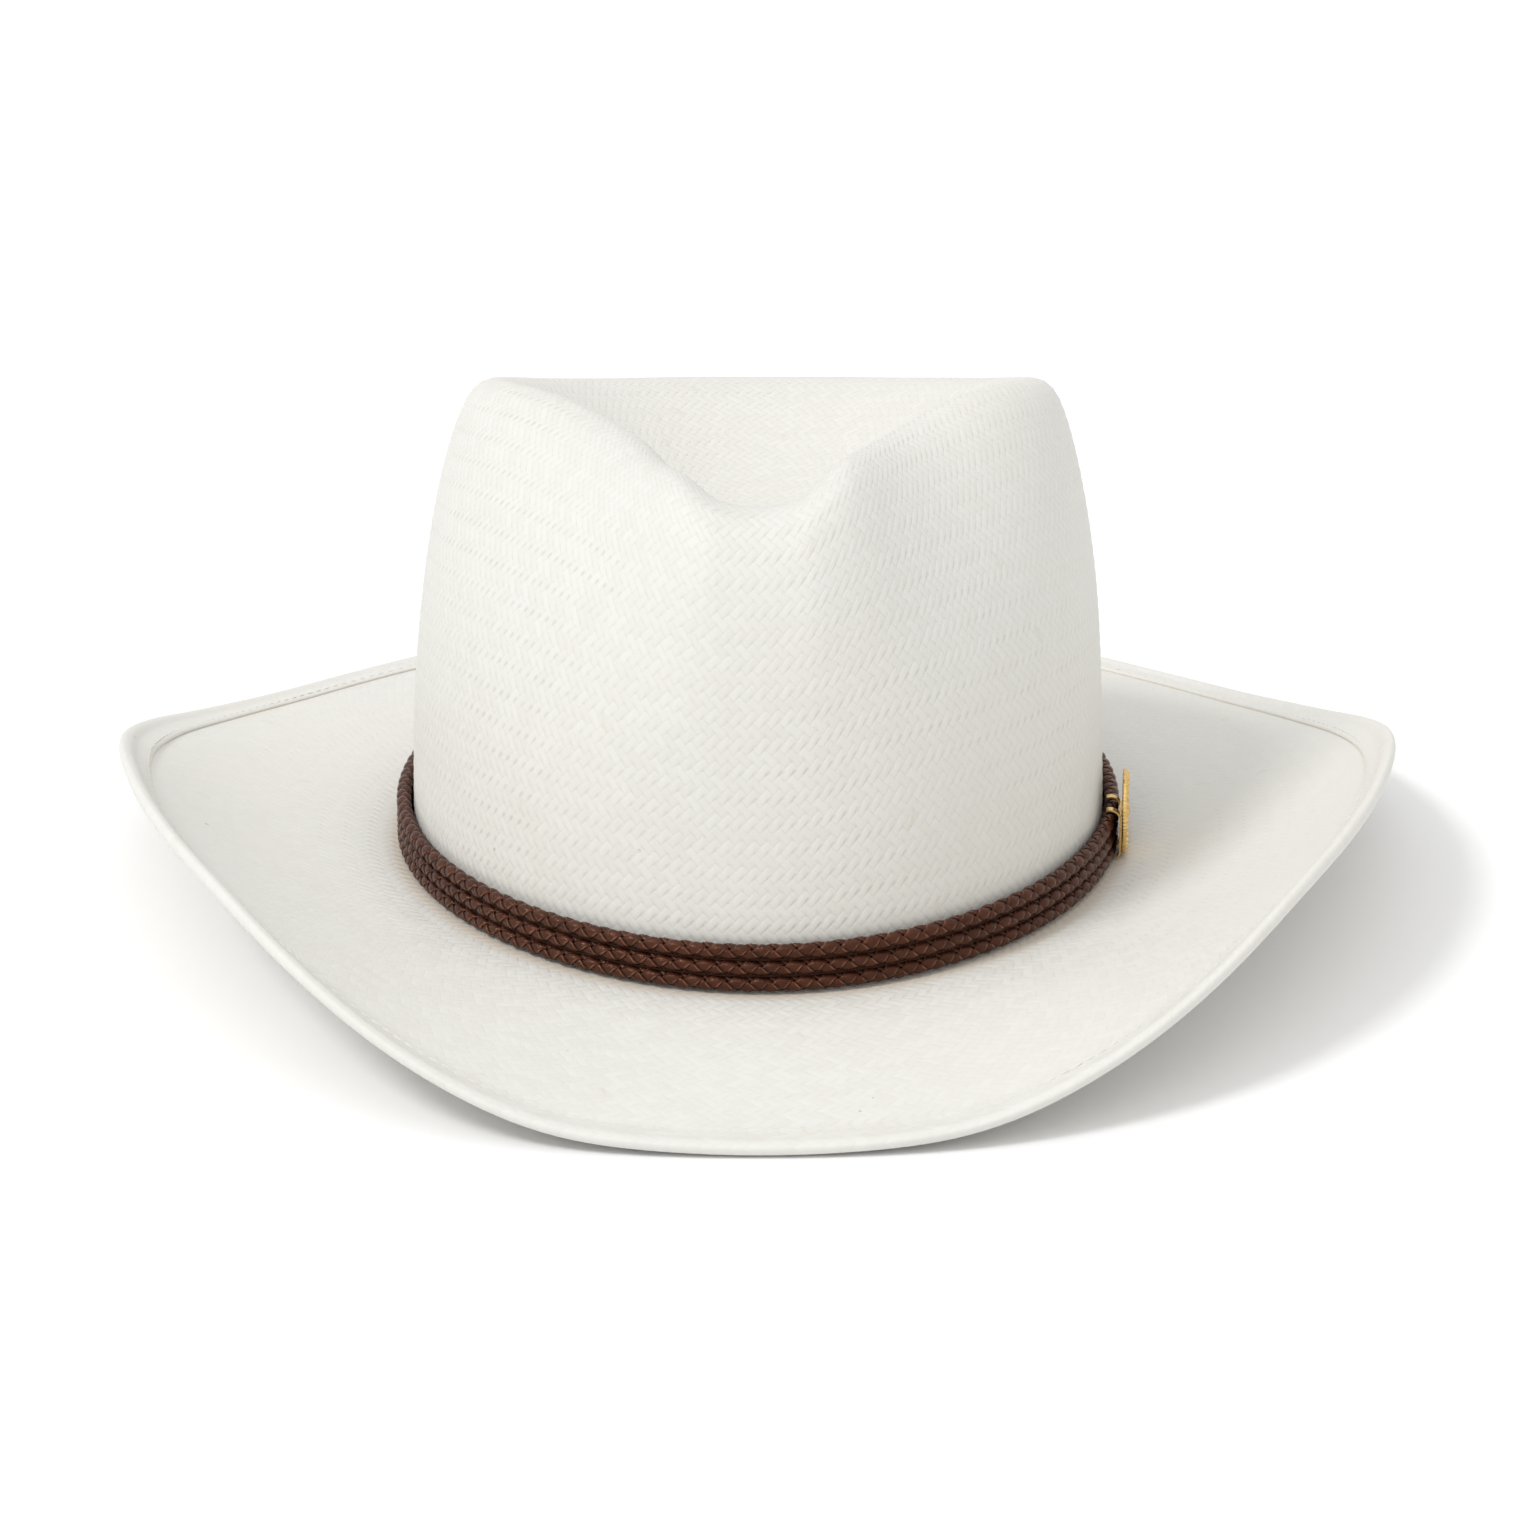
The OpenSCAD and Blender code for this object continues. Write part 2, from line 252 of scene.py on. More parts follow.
def wobble(P, amp=1.0):
    """Smooth, seamless unevenness of a hand-blocked shape: a small shift of each point."""
    x, y, z = P[..., 0], P[..., 1], P[..., 2]
    s = np.sin
    dx = s(x / 17 + 1.3 * s(y / 29) + z / 23) + 0.6 * s(y / 11 + z / 13 + 2.0)
    dy = s(y / 19 + 1.1 * s(z / 27) + x / 31 + 1.0) + 0.6 * s(x / 13 - z / 11 + 0.4)
    dz = s(z / 21 + 1.2 * s(x / 25) + y / 15 + 2.1) + 0.6 * s(x / 12 + y / 14 + 4.0)
    return np.stack([dx, dy, dz], -1) * amp


# ------------------------------------------------------------------ a small language for shader maths
class Nodes:
    def __init__(self, name):
        self.mat = bpy.data.materials.new(name)
        self.mat.use_nodes = True
        self.t = self.mat.node_tree
        self.t.nodes.clear()
        self.out = self.t.nodes.new("ShaderNodeOutputMaterial")
        self.bsdf = self.t.nodes.new("ShaderNodeBsdfPrincipled")
        self.t.links.new(self.bsdf.outputs[0], self.out.inputs[0])

    def node(self, kind, **props):
        n = self.t.nodes.new(kind)
        for k, v in props.items():
            setattr(n, k, v)
        return n

    def put(self, sock, val):
        if isinstance(val, Val):
            self.t.links.new(val.s, sock)
        else:
            sock.default_value = val

    def math(self, op, *args, clamp=False):
        n = self.node("ShaderNodeMath", operation=op, use_clamp=clamp)
        for i, a in enumerate(args):
            self.put(n.inputs[i], a)
        return Val(self, n.outputs[0])

    def attr(self, name):
        n = self.node("ShaderNodeAttribute", attribute_name=name)
        return Val(self, n.outputs["Fac"])

    def uv(self, name):
        n = self.node("ShaderNodeUVMap", uv_map=name)
        x = self.node("ShaderNodeSeparateXYZ")
        self.t.links.new(n.outputs[0], x.inputs[0])
        return Val(self, x.outputs[0]), Val(self, x.outputs[1])

    def obj(self):
        n = self.node("ShaderNodeTexCoord")
        return n.outputs["Object"]

    def vec(self, x, y, z=0.0):
        n = self.node("ShaderNodeCombineXYZ")
        for i, v in enumerate((x, y, z)):
            self.put(n.inputs[i], v)
        return n.outputs[0]

    def noise(self, vec, scale, detail=3.0, rough=0.55, dist=0.0):
        n = self.node("ShaderNodeTexNoise")
        self.t.links.new(vec, n.inputs["Vector"])
        n.inputs["Scale"].default_value = scale
        n.inputs["Detail"].default_value = detail
        n.inputs["Roughness"].default_value = rough
        n.inputs["Distortion"].default_value = dist
        return Val(self, n.outputs[0])

    def voronoi(self, vec, scale, feature="F1", out="Distance", rand=1.0):
        n = self.node("ShaderNodeTexVoronoi", feature=feature)
        self.t.links.new(vec, n.inputs["Vector"])
        n.inputs["Scale"].default_value = scale
        n.inputs["Randomness"].default_value = rand
        return Val(self, n.outputs[out])

    def white(self, x, y):
        n = self.node("ShaderNodeTexWhiteNoise", noise_dimensions="2D")
        self.t.links.new(self.vec(x, y), n.inputs["Vector"])
        return Val(self, n.outputs["Value"])

    def mix(self, fac, a, b):
        n = self.node("ShaderNodeMix", data_type="RGBA")
        self.put(n.inputs[0], fac)
        for i, c in ((6, a), (7, b)):
            if isinstance(c, Val):
                self.put(n.inputs[i], c)
            else:
                n.inputs[i].default_value = (*c, 1.0)
        return Val(self, n.outputs[2])

    def ramp(self, fac, a, b, lo=0.0, hi=1.0):
        n = self.node("ShaderNodeMapRange", interpolation_type="SMOOTHSTEP")
        for i, v in enumerate((fac, lo, hi, a, b)):
            self.put(n.inputs[i], v)
        return Val(self, n.outputs[0])

    def bump(self, height, dist, strength=1.0, over=None):
        n = self.node("ShaderNodeBump")
        n.inputs["Distance"].default_value = dist
        n.inputs["Strength"].default_value = strength
        self.put(n.inputs["Height"], height)
        if over is not None:
            self.t.links.new(over, n.inputs["Normal"])
        return n.outputs[0]

    def finish(self, color, rough=0.5, normal=None, **consts):
        self.put(self.bsdf.inputs["Base Color"], color)
        self.put(self.bsdf.inputs["Roughness"], rough)
        if normal is not None:
            self.t.links.new(normal, self.bsdf.inputs["Normal"])
        for k, v in consts.items():
            self.bsdf.inputs[k.replace("_", " ")].default_value = v
        return self.mat


class Val:
    def __init__(self, n, s):
        self.n, self.s = n, s

    def __add__(self, o):
        return self.n.math("ADD", self, o)

    __radd__ = __add__

    def __sub__(self, o):
        return self.n.math("SUBTRACT", self, o)

    def __rsub__(self, o):
        return self.n.math("SUBTRACT", o, self)

    def __mul__(self, o):
        return self.n.math("MULTIPLY", self, o)

    __rmul__ = __mul__

    def __truediv__(self, o):
        return self.n.math("DIVIDE", self, o)

    def frac(self):
        return self.n.math("FRACT", self)

    def floor(self):
        return self.n.math("FLOOR", self)

    def abs(self):
        return self.n.math("ABSOLUTE", self)

    def max(self, o):
        return self.n.math("MAXIMUM", self, o)

    def min(self, o):
        return self.n.math("MINIMUM", self, o)

    def pow(self, o):
        return self.n.math("POWER", self, o)

    def sin(self):
        return self.n.math("SINE", self)

    def lt(self, o):
        return self.n.math("LESS_THAN", self, o)


# ------------------------------------------------------------------ straw: crown, brim and folded edge in one woven hood
NA = 336
p = np.arange(NA) * 360.0 / NA
BR, WR, DR = 22.0, 38.0, 26.0  # weave courses on the plain brim, the wall and the dent
H0 = 1.6 / (ridge_h(p) - break_h(p))


def by_length(fn, lo, n):
    """Stations so that fn(p, station) is evenly spaced along each column, as a table of n + 1 rows."""
    t = np.linspace(0, 1, 401)[:, None]
    q = lo + (1 - lo) * t if np.ndim(lo) == 0 else lo[None, :] + (1 - lo[None, :]) * t
    q = np.broadcast_to(q, (401, NA))
    pts = fn(np.broadcast_to(p, q.shape), q)
    L = np.concatenate([np.zeros((1, NA)), np.cumsum(np.linalg.norm(np.diff(pts, axis=0), axis=2), 0)])
    L /= L[-1]
    f = np.linspace(0, 1, n + 1)
    return np.stack([np.interp(f, L[:, i], q[:, i]) for i in range(NA)], 1)


wall_q = by_length(wall_pt, H0, int(WR) * 2)
dent_q = by_length(dent_pt, 0.0, int(DR) * 2)
rows, rr, kind = [], [], []  # points, course coordinate, 1 = relief allowed


def put(P, r, k):
    rows.append(np.array(P, float))
    rr.append(r)
    kind.append(k)


# the ridge itself is rolled over a small radius instead of a crease
wall_rows = [wall_pt(p, q) for q in wall_q]
dent_rows = [dent_pt(p, q) for q in dent_q]
outer = [None] * 0
for j in range(len(dent_rows) - 2, 0, -1):
    outer.append((dent_rows[j], -(WR + DR * j / (len(dent_rows) - 1))))
for j in range(len(wall_rows) - 1, -1, -1):
    outer.append((wall_rows[j], -WR * j / (len(wall_rows) - 1)))
OP = np.array([o[0] for o in outer])
ridge_i = len(dent_rows) - 2
sm = OP.copy()
for _ in range(14):
    avg = sm.copy()
    avg[1:-1] = 0.25 * sm[:-2] + 0.5 * sm[1:-1] + 0.25 * sm[2:]
    d = np.abs(np.arange(len(sm)) - ridge_i)[:, None, None]
    w = np.clip(1 - d / 7.0, 0, 1)
    sm = sm * (1 - w) + avg * w
OP = sm
for P, (q, r) in zip(OP, outer):
    put(P, r, 1)
# hollow between wall and brim
C = oval_pt(p, 0.0, break_h(p))
W0, S0 = OP[-1], brim_pt(p, 1.6, 0.0)
for t in (0.25, 0.5, 0.75):
    put((1 - t) ** 2 * W0 + 2 * t * (1 - t) * C + t * t * S0, 0.0, 0)
plain = brim_width(p) - FOLD
put(S0, 1.6 * BR / 70, 0)
for j in range(2, int(BR) * 2 + 1):
    put(brim_pt(p, plain * j / (BR * 2), 0.0), j / 2, 1)
# the edge is folded up over a wire and back onto the brim's upper face
leg = [(0.75, 0.0), (1.0, -0.04), (1.06, 0.02), (0.98, 0.16), (1.0, 0.36), (1.14, 0.56), (1.45, 0.74), (1.9, 0.86),
       (2.5, 0.94), (3.2, 0.98), (4.2, 0.98), (5.1, 1.02), (5.8, 1.14), (6.4, 1.38), (7.0, 1.76), (7.6, 2.1),
       (8.2, 2.34), (8.8, 2.4), (9.4, 2.26), (9.9, 1.94), (10.25, 1.5), (10.45, 1.0), (10.5, 0.5), (10.42, 0.0),
       (10.15, -0.55), (9.7, -1.02), (9.1, -1.38), (8.4, -1.5), (6.4, -1.5), (4.2, -1.5), (2.1, -1.5)]
fold_from = len(rows)
stepped = smoothstep(72, 104, fold180(p))
for e, t in leg:
    lift = np.clip(t - 1, 0, None) * (0.54 + 0.08 * stepped)
    e2, t2 = (e, t)
    if e < 5.2 and t > -0.5:
        k_ = leg.index(next(q_ for q_ in leg if q_[0] == e and (q_[1] == t or q_[1] > 1)))
        e2 = 0.75 + (5.2 - 0.75) * k_ / 11.0
        t2 = 0.98 * float(smoothstep(0.75, 6.2, e2))
        lift = lift * stepped
    t, t2 = min(t, 1.0), min(t2, 1.0)
    put(brim_pt(p, plain + e * stepped + e2 * (1 - stepped), t * stepped + t2 * (1 - stepped) + lift), BR + e / 3.1, 2)
fold_to = len(rows)
for j in range(int(BR), 1, -1):
    put(brim_pt(p, plain * j / BR, -1.5), float(j), 3)
# underside meets the inside of the crown over a rounded fold
U0 = brim_pt(p, 1.6, -1.5)
I0 = oval_pt(p, -1.5, break_h(p) + 1.6)
K0 = oval_pt(p, -1.5, break_h(p) - 1.5)
put(U0, 0.3, 0)
for t in (0.2, 0.4, 0.6, 0.8):
    put((1 - t) ** 2 * U0 + 2 * t * (1 - t) * K0 + t * t * I0, 0.0, 0)
# normals of the outer skin carry the inner skin
dp = np.roll(OP, -1, 1) - np.roll(OP, 1, 1)
dr = np.gradient(OP, axis=0)
ON = np.cross(dr, dp)
ON /= np.linalg.norm(ON, axis=2, keepdims=True)
if ON[-1, 0, 1] > 0:  # at the front the outward normal points to -Y
    ON = -ON
IP = OP - TH * ON
for j in range(len(OP) - 1, 0, -2):
    if j == len(OP) - 1:
        put(I0, 0.0, 0)
    else:
        put(IP[j], outer[j][1], 3)
P = np.array(rows)
rr = np.array(rr)
kind = np.array(kind)
# relief: courses are slightly rounded ribs, and the whole hood is a little uneven
dp = np.roll(P, -1, 1) - np.roll(P, 1, 1)
dr = np.gradient(P, axis=0)
N = np.cross(dr, dp)
N /= np.maximum(np.linalg.norm(N, axis=2, keepdims=True), 1e-9)
if N[ridge_i + 40, 0, 1] > 0:
    N = -N
near = smoothstep(0, 3.0, np.abs(rr))[:, None]
rib = np.where(kind == 1, -0.05 * np.cos(2 * np.pi * rr) - 0.05, 0.0)
rib[kind == 1] = np.where(np.abs(rr[kind == 1] - np.round(rr[kind == 1])) < 0.2, -0.11, 0.0)
wall_side = (rr < 0) & (kind == 1)
P = P + N * (rib[:, None] * near)[..., None]
shift = wobble(P, 0.16) * near[..., None] * smoothstep(0.0, 5.0, P[..., 2])[..., None]
shift[fold_from:fold_to] *= 0.25  # the wire holds the edge true
P = P + shift
# slow ripple along the folded edge, as a wired straw edge has
u_all = around(p)
rip = 0.06 * np.sin(2 * np.pi * 9 * u_all + 0.7) + 0.04 * np.sin(2 * np.pi * 23 * u_all + 2.0)
P[fold_from:fold_to, :, 2] += rip[None, :] * smoothstep(0, 5.0, P[fold_from:fold_to, :, 2])
P[..., 2] = np.maximum(P[..., 2], 0)
nr = len(P)
v = P.reshape(-1, 3)
quads, qi, qj = grid(nr, NA)
uc = np.concatenate([u_all, [1.0]])
uv = np.stack([
    np.stack([uc[qj], rr[qi]], -1), np.stack([uc[qj + 1], rr[qi]], -1),
    np.stack([uc[qj + 1], rr[qi + 1]], -1), np.stack([uc[qj], rr[qi + 1]], -1)], 1).reshape(-1, 2)
# poles of the dent
v = np.concatenate([v, [P[0].mean(0)], [P[-1].mean(0)]])
po, pi = nr * NA, nr * NA + 1
faces = quads.tolist()
c0 = np.arange(NA)
cap_o = np.stack([np.full(NA, po), (c0 + 1) % NA, c0], -1)
cap_i = np.stack([np.full(NA, pi), (nr - 1) * NA + c0, (nr - 1) * NA + (c0 + 1) % NA], -1)
rp = -(WR + DR)
uvo = np.stack([np.stack([(uc[c0] + uc[c0 + 1]) / 2, np.full(NA, rp)], -1),
                np.stack([uc[c0 + 1], np.full(NA, rr[0])], -1), np.stack([uc[c0], np.full(NA, rr[0])], -1)], 1)
uvi = np.stack([np.stack([(uc[c0] + uc[c0 + 1]) / 2, np.full(NA, rp)], -1),
                np.stack([uc[c0], np.full(NA, rr[-1])], -1), np.stack([uc[c0 + 1], np.full(NA, rr[-1])], -1)], 1)
# quads run (row, col) -> (row, col + 1) -> (row + 1, col + 1); flip all so that normals face out
faces = [f[::-1] for f in faces]
uv = uv.reshape(-1, 4, 2)[:, ::-1].reshape(-1, 2)
uv = np.concatenate([uv, uvo[:, ::-1].reshape(-1, 2), uvi[:, ::-1].reshape(-1, 2)])
faces += [f[::-1] for f in cap_o.tolist()] + [f[::-1] for f in cap_i.tolist()]
# tan tint, mostly painted: a contact shadow with bounced light from the leather just below where the band rests, shade
# in the crease under the band, a shade line along the fold's inner edge, and a slightly warmer inside of the crown
warm_shade = np.zeros((nr, NA))
on_brim = (rr > 0) & (kind != 3) & (np.arange(nr) < fold_from)
# painted contact shadow with bounced tan light from the leather, just below the band
warm_shade += (np.exp(-(((rr - 1.35) / 0.42) ** 2)) * on_brim)[:, None] * 1.0
# a broader band of the same painted shade and bounce below the band, strongest on the right, the side away from the
# key light
right_shade = smoothstep(20, 60, turn180(p)) * (1 - smoothstep(110, 150, turn180(p)))
warm_shade += (smoothstep(0.9, 1.3, rr) * (1 - smoothstep(1.5, 3.2, rr)) * on_brim)[:, None] * (0.22 + 0.42 * right_shade)[None, :]
# painted shade in the crease where crown meets brim, under the band
warm_shade += np.exp(-((np.abs(rr) / 1.0) ** 2))[:, None] * 0.3
# painted shade line along the fold's inner edge, strongest at the sides and the back
warm_shade[fold_from + 1:fold_from + 4] = 0.60 * smoothstep(70, 105, fold180(p))[None, :]
# the inside surfaces are tinted a little warmer
inside = np.where((kind == 3) | ((kind == 0) & (np.arange(nr) > fold_to)))[0]
warm_shade[inside] += 0.12
warm_shade = np.concatenate([warm_shade.ravel(), [0, 0.12]])
zone = np.zeros((nr, NA))
zone[fold_from + 4:fold_to] = 1.0
zone = np.concatenate([zone.ravel(), [0, 0]])
straw = new_object("straw_body", v, faces, uv=uv, attrs={"warm_shade": np.clip(warm_shade, 0, 1), "zone": zone})


def straw_material():
    n = Nodes("straw_weave")
    u, R = n.uv("weave")
    row = R.floor() + 0.5
    # strokes in this course: more on the wide brim, fewer towards the dent
    cnt = (row.max(0.0) * 6.5 + 198.0).min((row + (WR + DR)) * 7.0 + 4.0)
    cnt = ((cnt / 18.0).floor() * 18.0).max(18.0)
    wav = n.noise(n.obj(), 34.0, 2.0, 0.5)
    x = u * cnt + (wav - 0.5) * 0.55
    # the ends of one course's strokes lock between those of the next
    R2 = R - n.math("COSINE", x * (2 * math.pi)) * 0.16
    Rf = R2.floor()
    fr = R2 - Rf
    parity = ((Rf * 0.5).frac() * 4.0 - 1.0)  # +1 or -1
    a = x + parity * (fr - 0.5) * 0.62 + parity * 0.25
    cell = a.floor()
    fa = a - cell
    c = (fa - 0.5).abs() * 2.0  # 0 in the middle of a stroke, 1 in the gap
    e = (fr - 0.5).abs() * 2.0  # 0 in the middle of a course, 1 on its border
    body = (1.0 - c.pow(2.2) * 0.66 - e.pow(2.6) * 0.60).max(0.0)
    corner = c.pow(2.0) * e.pow(2.0)
    rnd = n.white(cell + parity * 37.0, Rf)
    rnd2 = n.white(cell + 11.3, Rf * 1.7)
    fib = n.noise(n.vec(a * 9.0, R * 1.3 + parity, rnd * 8.0), 2.4, 2.0, 0.6)
    vis = 1.0 - n.ramp(R, 0.0, 0.55, 2.5, 8.0)  # the weave is pressed flatter on the outer brim
    vis = vis * n.ramp(R, 0.0, 1.0, -(WR + DR) + 0.6, -(WR + DR) + 3.6)  # and where it begins, in the dent
    # short slits open where the strokes of every second course dip under the next; their dark colour is painted shade
    # in the openings
    patch = n.noise(n.obj(), 26.0, 2.0, 0.5)
    slit = n.ramp(c, 0.0, 1.0, 0.66, 0.96) * n.ramp(fr, 0.0, 1.0, 0.20, 0.62) * n.ramp(fr, 1.0, 0.0, 0.88, 1.0)
    slit = slit * (parity * 0.40 + 0.60) * (n.ramp(patch, 0.12, 1.0, 0.42, 0.66) * (rnd2 * 0.75 + 0.25))
    height = (body.pow(0.75) * 0.66 - corner * 0.3 - slit * 0.5 + rnd * 0.08 + fib * 0.07) * vis
    # painted shade: the straw is darkened in the gaps between strokes, along the borders between courses and most at
    # their corners
    gap = n.ramp(c, 0.0, 1.0, 0.70, 1.0)
    border = n.ramp(e, 0.0, 1.0, 0.74, 1.0)
    gap_shade = (gap * 0.36).max(border * 0.26) + n.ramp(corner, 0.0, 1.0, 0.35, 0.85) * 0.8
    big = n.noise(n.obj(), 9.0, 3.0, 0.5)
    light = n.mix(rnd, (0.714, 0.703, 0.658), (0.738, 0.729, 0.690))
    light = n.mix(n.ramp(big, 0.0, 0.35, 0.35, 0.7), light, (0.745, 0.722, 0.658))
    dark = n.mix(rnd2, (0.56, 0.535, 0.475), (0.63, 0.605, 0.550))
    col = n.mix(gap_shade.min(1.0) * 0.24 * vis, light, dark)
    # painted shade in the slits
    col = n.mix(slit * 0.36 * vis, col, (0.43, 0.40, 0.34))
    # now and then a tan fibre or a dark fleck
    tan = (rnd2 * 1.0).lt(0.004)
    col = n.mix(tan * (0.26 * (1.0 - c)), col, (0.60, 0.52, 0.40))
    spot = n.voronoi(n.obj(), 150.0)
    seed = n.noise(n.obj(), 47.0, 1.0)
    fleck = spot.lt(0.085) * n.ramp(seed, 0.0, 1.0, 0.66, 0.70)
    col = n.mix(fleck * 0.45, col, (0.33, 0.28, 0.22))
    # mix in the tan tint: painted shade and bounced light below the band and along the fold, and the warmer inside
    warm_shade_fac = n.attr("warm_shade")
    col = n.mix(warm_shade_fac * 0.55, col, (0.60, 0.47, 0.33))
    rough = n.ramp(rnd, 0.50, 0.62)
    grain = n.noise(n.obj(), 1400.0, 2.0, 0.6)
    b1 = n.bump(height, 0.00042, 0.40)
    b2 = n.bump(grain, 0.00005, 0.5, over=b1)
    return n.finish(col, rough, b2, Specular_IOR_Level=0.32, Sheen_Weight=0.08, Sheen_Roughness=0.5,
                    Subsurface_Weight=0.0)


straw.data.materials.append(straw_material())
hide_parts("crown", "brim")
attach(straw, "hat")


# ------------------------------------------------------------------ braided cords of the band
def oval_frame(f):
    """Point, outward normal, tangent of the base oval at arc fraction f; z = 0."""
    q = at_length(f)
    nx, ny = oval_n(q)
    pt = oval_pt(q, 0.0, 0.0)
    return q, pt, np.stack([nx, ny, np.zeros_like(nx)], -1), np.stack([-ny, nx, np.zeros_like(nx)], -1)


CR, CA, CB = 2.1, 1.8, 1.95


def braided_cord(name, zc, shift, filler=False):
    turns, per = 60, 17
    ns = turns * per
    s = np.arange(ns) / ns  # fraction of the loop
    ph = s * turns * 2 * np.pi
    pitch = (OVAL + 2 * np.pi * CR) / turns
    R0, amp, hw, ht = 1.08, 0.34, 1.52, 0.38
    wv = np.array([-1.0, -0.93, -0.80, -0.42, 0.0, 0.42, 0.80, 0.93, 1.0, 0.7, 0.0, -0.7])
    tv = np.array([-0.45, 0.35, 0.78, 0.96, 1.0, 0.96, 0.78, 0.35, -0.45, -0.85, -1.0, -0.85])
    # wt: tone across the lace; its dark edges and back are painted shade, the light band near each edge is partly a
    # worn cut edge, partly a painted highlight
    wt = np.array([-0.9, -0.5, 0.75, 0.10, 0.0, 0.10, 0.75, -0.5, -0.9, -0.9, -0.9, -0.9])
    part = Parts()
    for sense, off in ((1, 0.0), (1, np.pi), (-1, 0.0), (-1, np.pi)):
        th0 = sense * ph + off + np.pi / 4
        rho0 = R0 + sense * amp * np.cos(2 * ph)
        ang = math.atan2(2 * math.pi * 1.35, pitch) * sense
        ds = -math.sin(ang) * hw * wv[None, :]
        dth = math.cos(ang) * hw * wv[None, :] / 1.35
        lace = 1.0 + 0.06 * np.sin(ph / 2 * 3 + off + sense)[:, None]
        th = th0[:, None] + dth * lace
        rho = rho0[:, None] + ht * tv[None, :]
        sf = s[:, None] + ds / (OVAL + 2 * np.pi * CR) + shift
        q, pt, nn, tt = oval_frame(sf)
        ra = CR + rho * np.cos(th) * (CA / 1.70)
        zz = zc + rho * np.sin(th) * (CB / 1.84)
        pts = pt + nn * ra[..., None]
        pts[..., 2] = break_h(q) + zz
        v, f = loft(pts, close_r=True, close_c=True, flip=True)
        over = np.clip((rho0[:, None] - R0) / amp * 0.5 + 0.5, 0, 1)  # 1 where this lace lies on top
        # laces that lie under others are darkened further: painted shade
        tone = np.clip(wt[None, :] * (0.35 + 0.65 * over) - 0.9 * (1 - over) ** 1.5, -0.9, 1)
        part.add(v, f, tone)
    if filler:
        # waxed lacing that ties this cord to the one below it; its tone of -0.6 paints it in deep shade, a dark core
        # filling the gap between the cords
        nc, k = 720, 10
        s2 = np.arange(nc) / nc
        q, pt, nn, tt = oval_frame(s2)
        a = -np.arange(k) * 2 * np.pi / k
        tw = 1 + 0.08 * np.cos(2 * a[None, :] + 2 * np.pi * 120 * s2[:, None])
        pts = pt[:, None, :] + nn[:, None, :] * (1.75 + 0.75 * tw * np.cos(a)[None, :])[..., None]
        pts[..., 2] = break_h(q)[:, None] + zc - (CB + 0.04) + 0.62 * tw * np.sin(a)[None, :]
        v, f = loft(pts, flip=True)
        part.add(v, f, np.full(nc * k, -0.6))
    return part.make(name, "tone")


def leather(name, deep, mid, edge, rough=0.42, scale=1.0):
    n = Nodes(name)
    tone = n.attr("tone")
    g = n.noise(n.obj(), 260.0 * scale, 4.0, 0.6)
    big = n.noise(n.obj(), 38.0, 2.0, 0.5)
    cells = n.voronoi(n.obj(), 1500.0 * scale, "DISTANCE_TO_EDGE")
    col = n.mix(n.ramp(g, 0.0, 1.0, 0.3, 0.72), deep, mid)
    col = n.mix(n.ramp(big, 0.0, 0.5, 0.4, 0.75), col, mid)
    # lighter where tone is high: on the braid partly worn cut edges, partly a painted highlight; on the sweatband, its
    # top edge
    worn_and_highlight = n.ramp(tone + (g - 0.5) * 0.5, 0.0, 1.0, 0.32, 0.92)
    col = n.mix(worn_and_highlight, col, edge)
    # painted shade: near-black where tone is low, in the braid's grooves, under other laces and on the filler lacing
    low_shade = n.ramp(tone, 1.0, 0.0, -0.6, -0.02)
    col = n.mix(low_shade * 0.9, col, tuple(0.2 * c for c in deep))
    height = n.ramp(cells, 0.0, 1.0, 0.0, 0.18) * 0.6 + g * 0.6
    return n.finish(col, n.ramp(g, rough - 0.07, rough + 0.12) + low_shade * 0.3, n.bump(height, 0.00012, 0.5),
                    Specular_IOR_Level=0.50, Specular_Tint=(1.0, 0.56, 0.40, 1.0))


braid = leather("braid_leather_mat", (0.028, 0.0064, 0.0026), (0.055, 0.0145, 0.0066), (0.28, 0.120, 0.075), 0.27)
for i, nm in enumerate(("bottom", "middle", "top")):
    cord = braided_cord(f"braided_cord_{nm}", 0.35 + CB + i * (2 * CB + 0.08), (0.0, 0.27 / 60, 0.05 / 60)[i], i > 0)
    cord.data.materials.append(braid)
    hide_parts(f"band_cord_{nm}")
    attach(cord, "hatband")

# ------------------------------------------------------------------ medallion
concho_lo, concho_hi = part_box("concho")
CX, CY, CZ = 83.706, -20.3, 21.25
TURN = math.radians(-4)
ct, st = math.cos(TURN), math.sin(TURN)


def medallion_place(L):
    """Local (out of the hat, sideways, up) in mm to the row frame."""
    x, y, z = L[..., 0], L[..., 1], L[..., 2]
    return np.stack([CX + x * ct - y * st, CY + x * st + y * ct, CZ + z], -1)


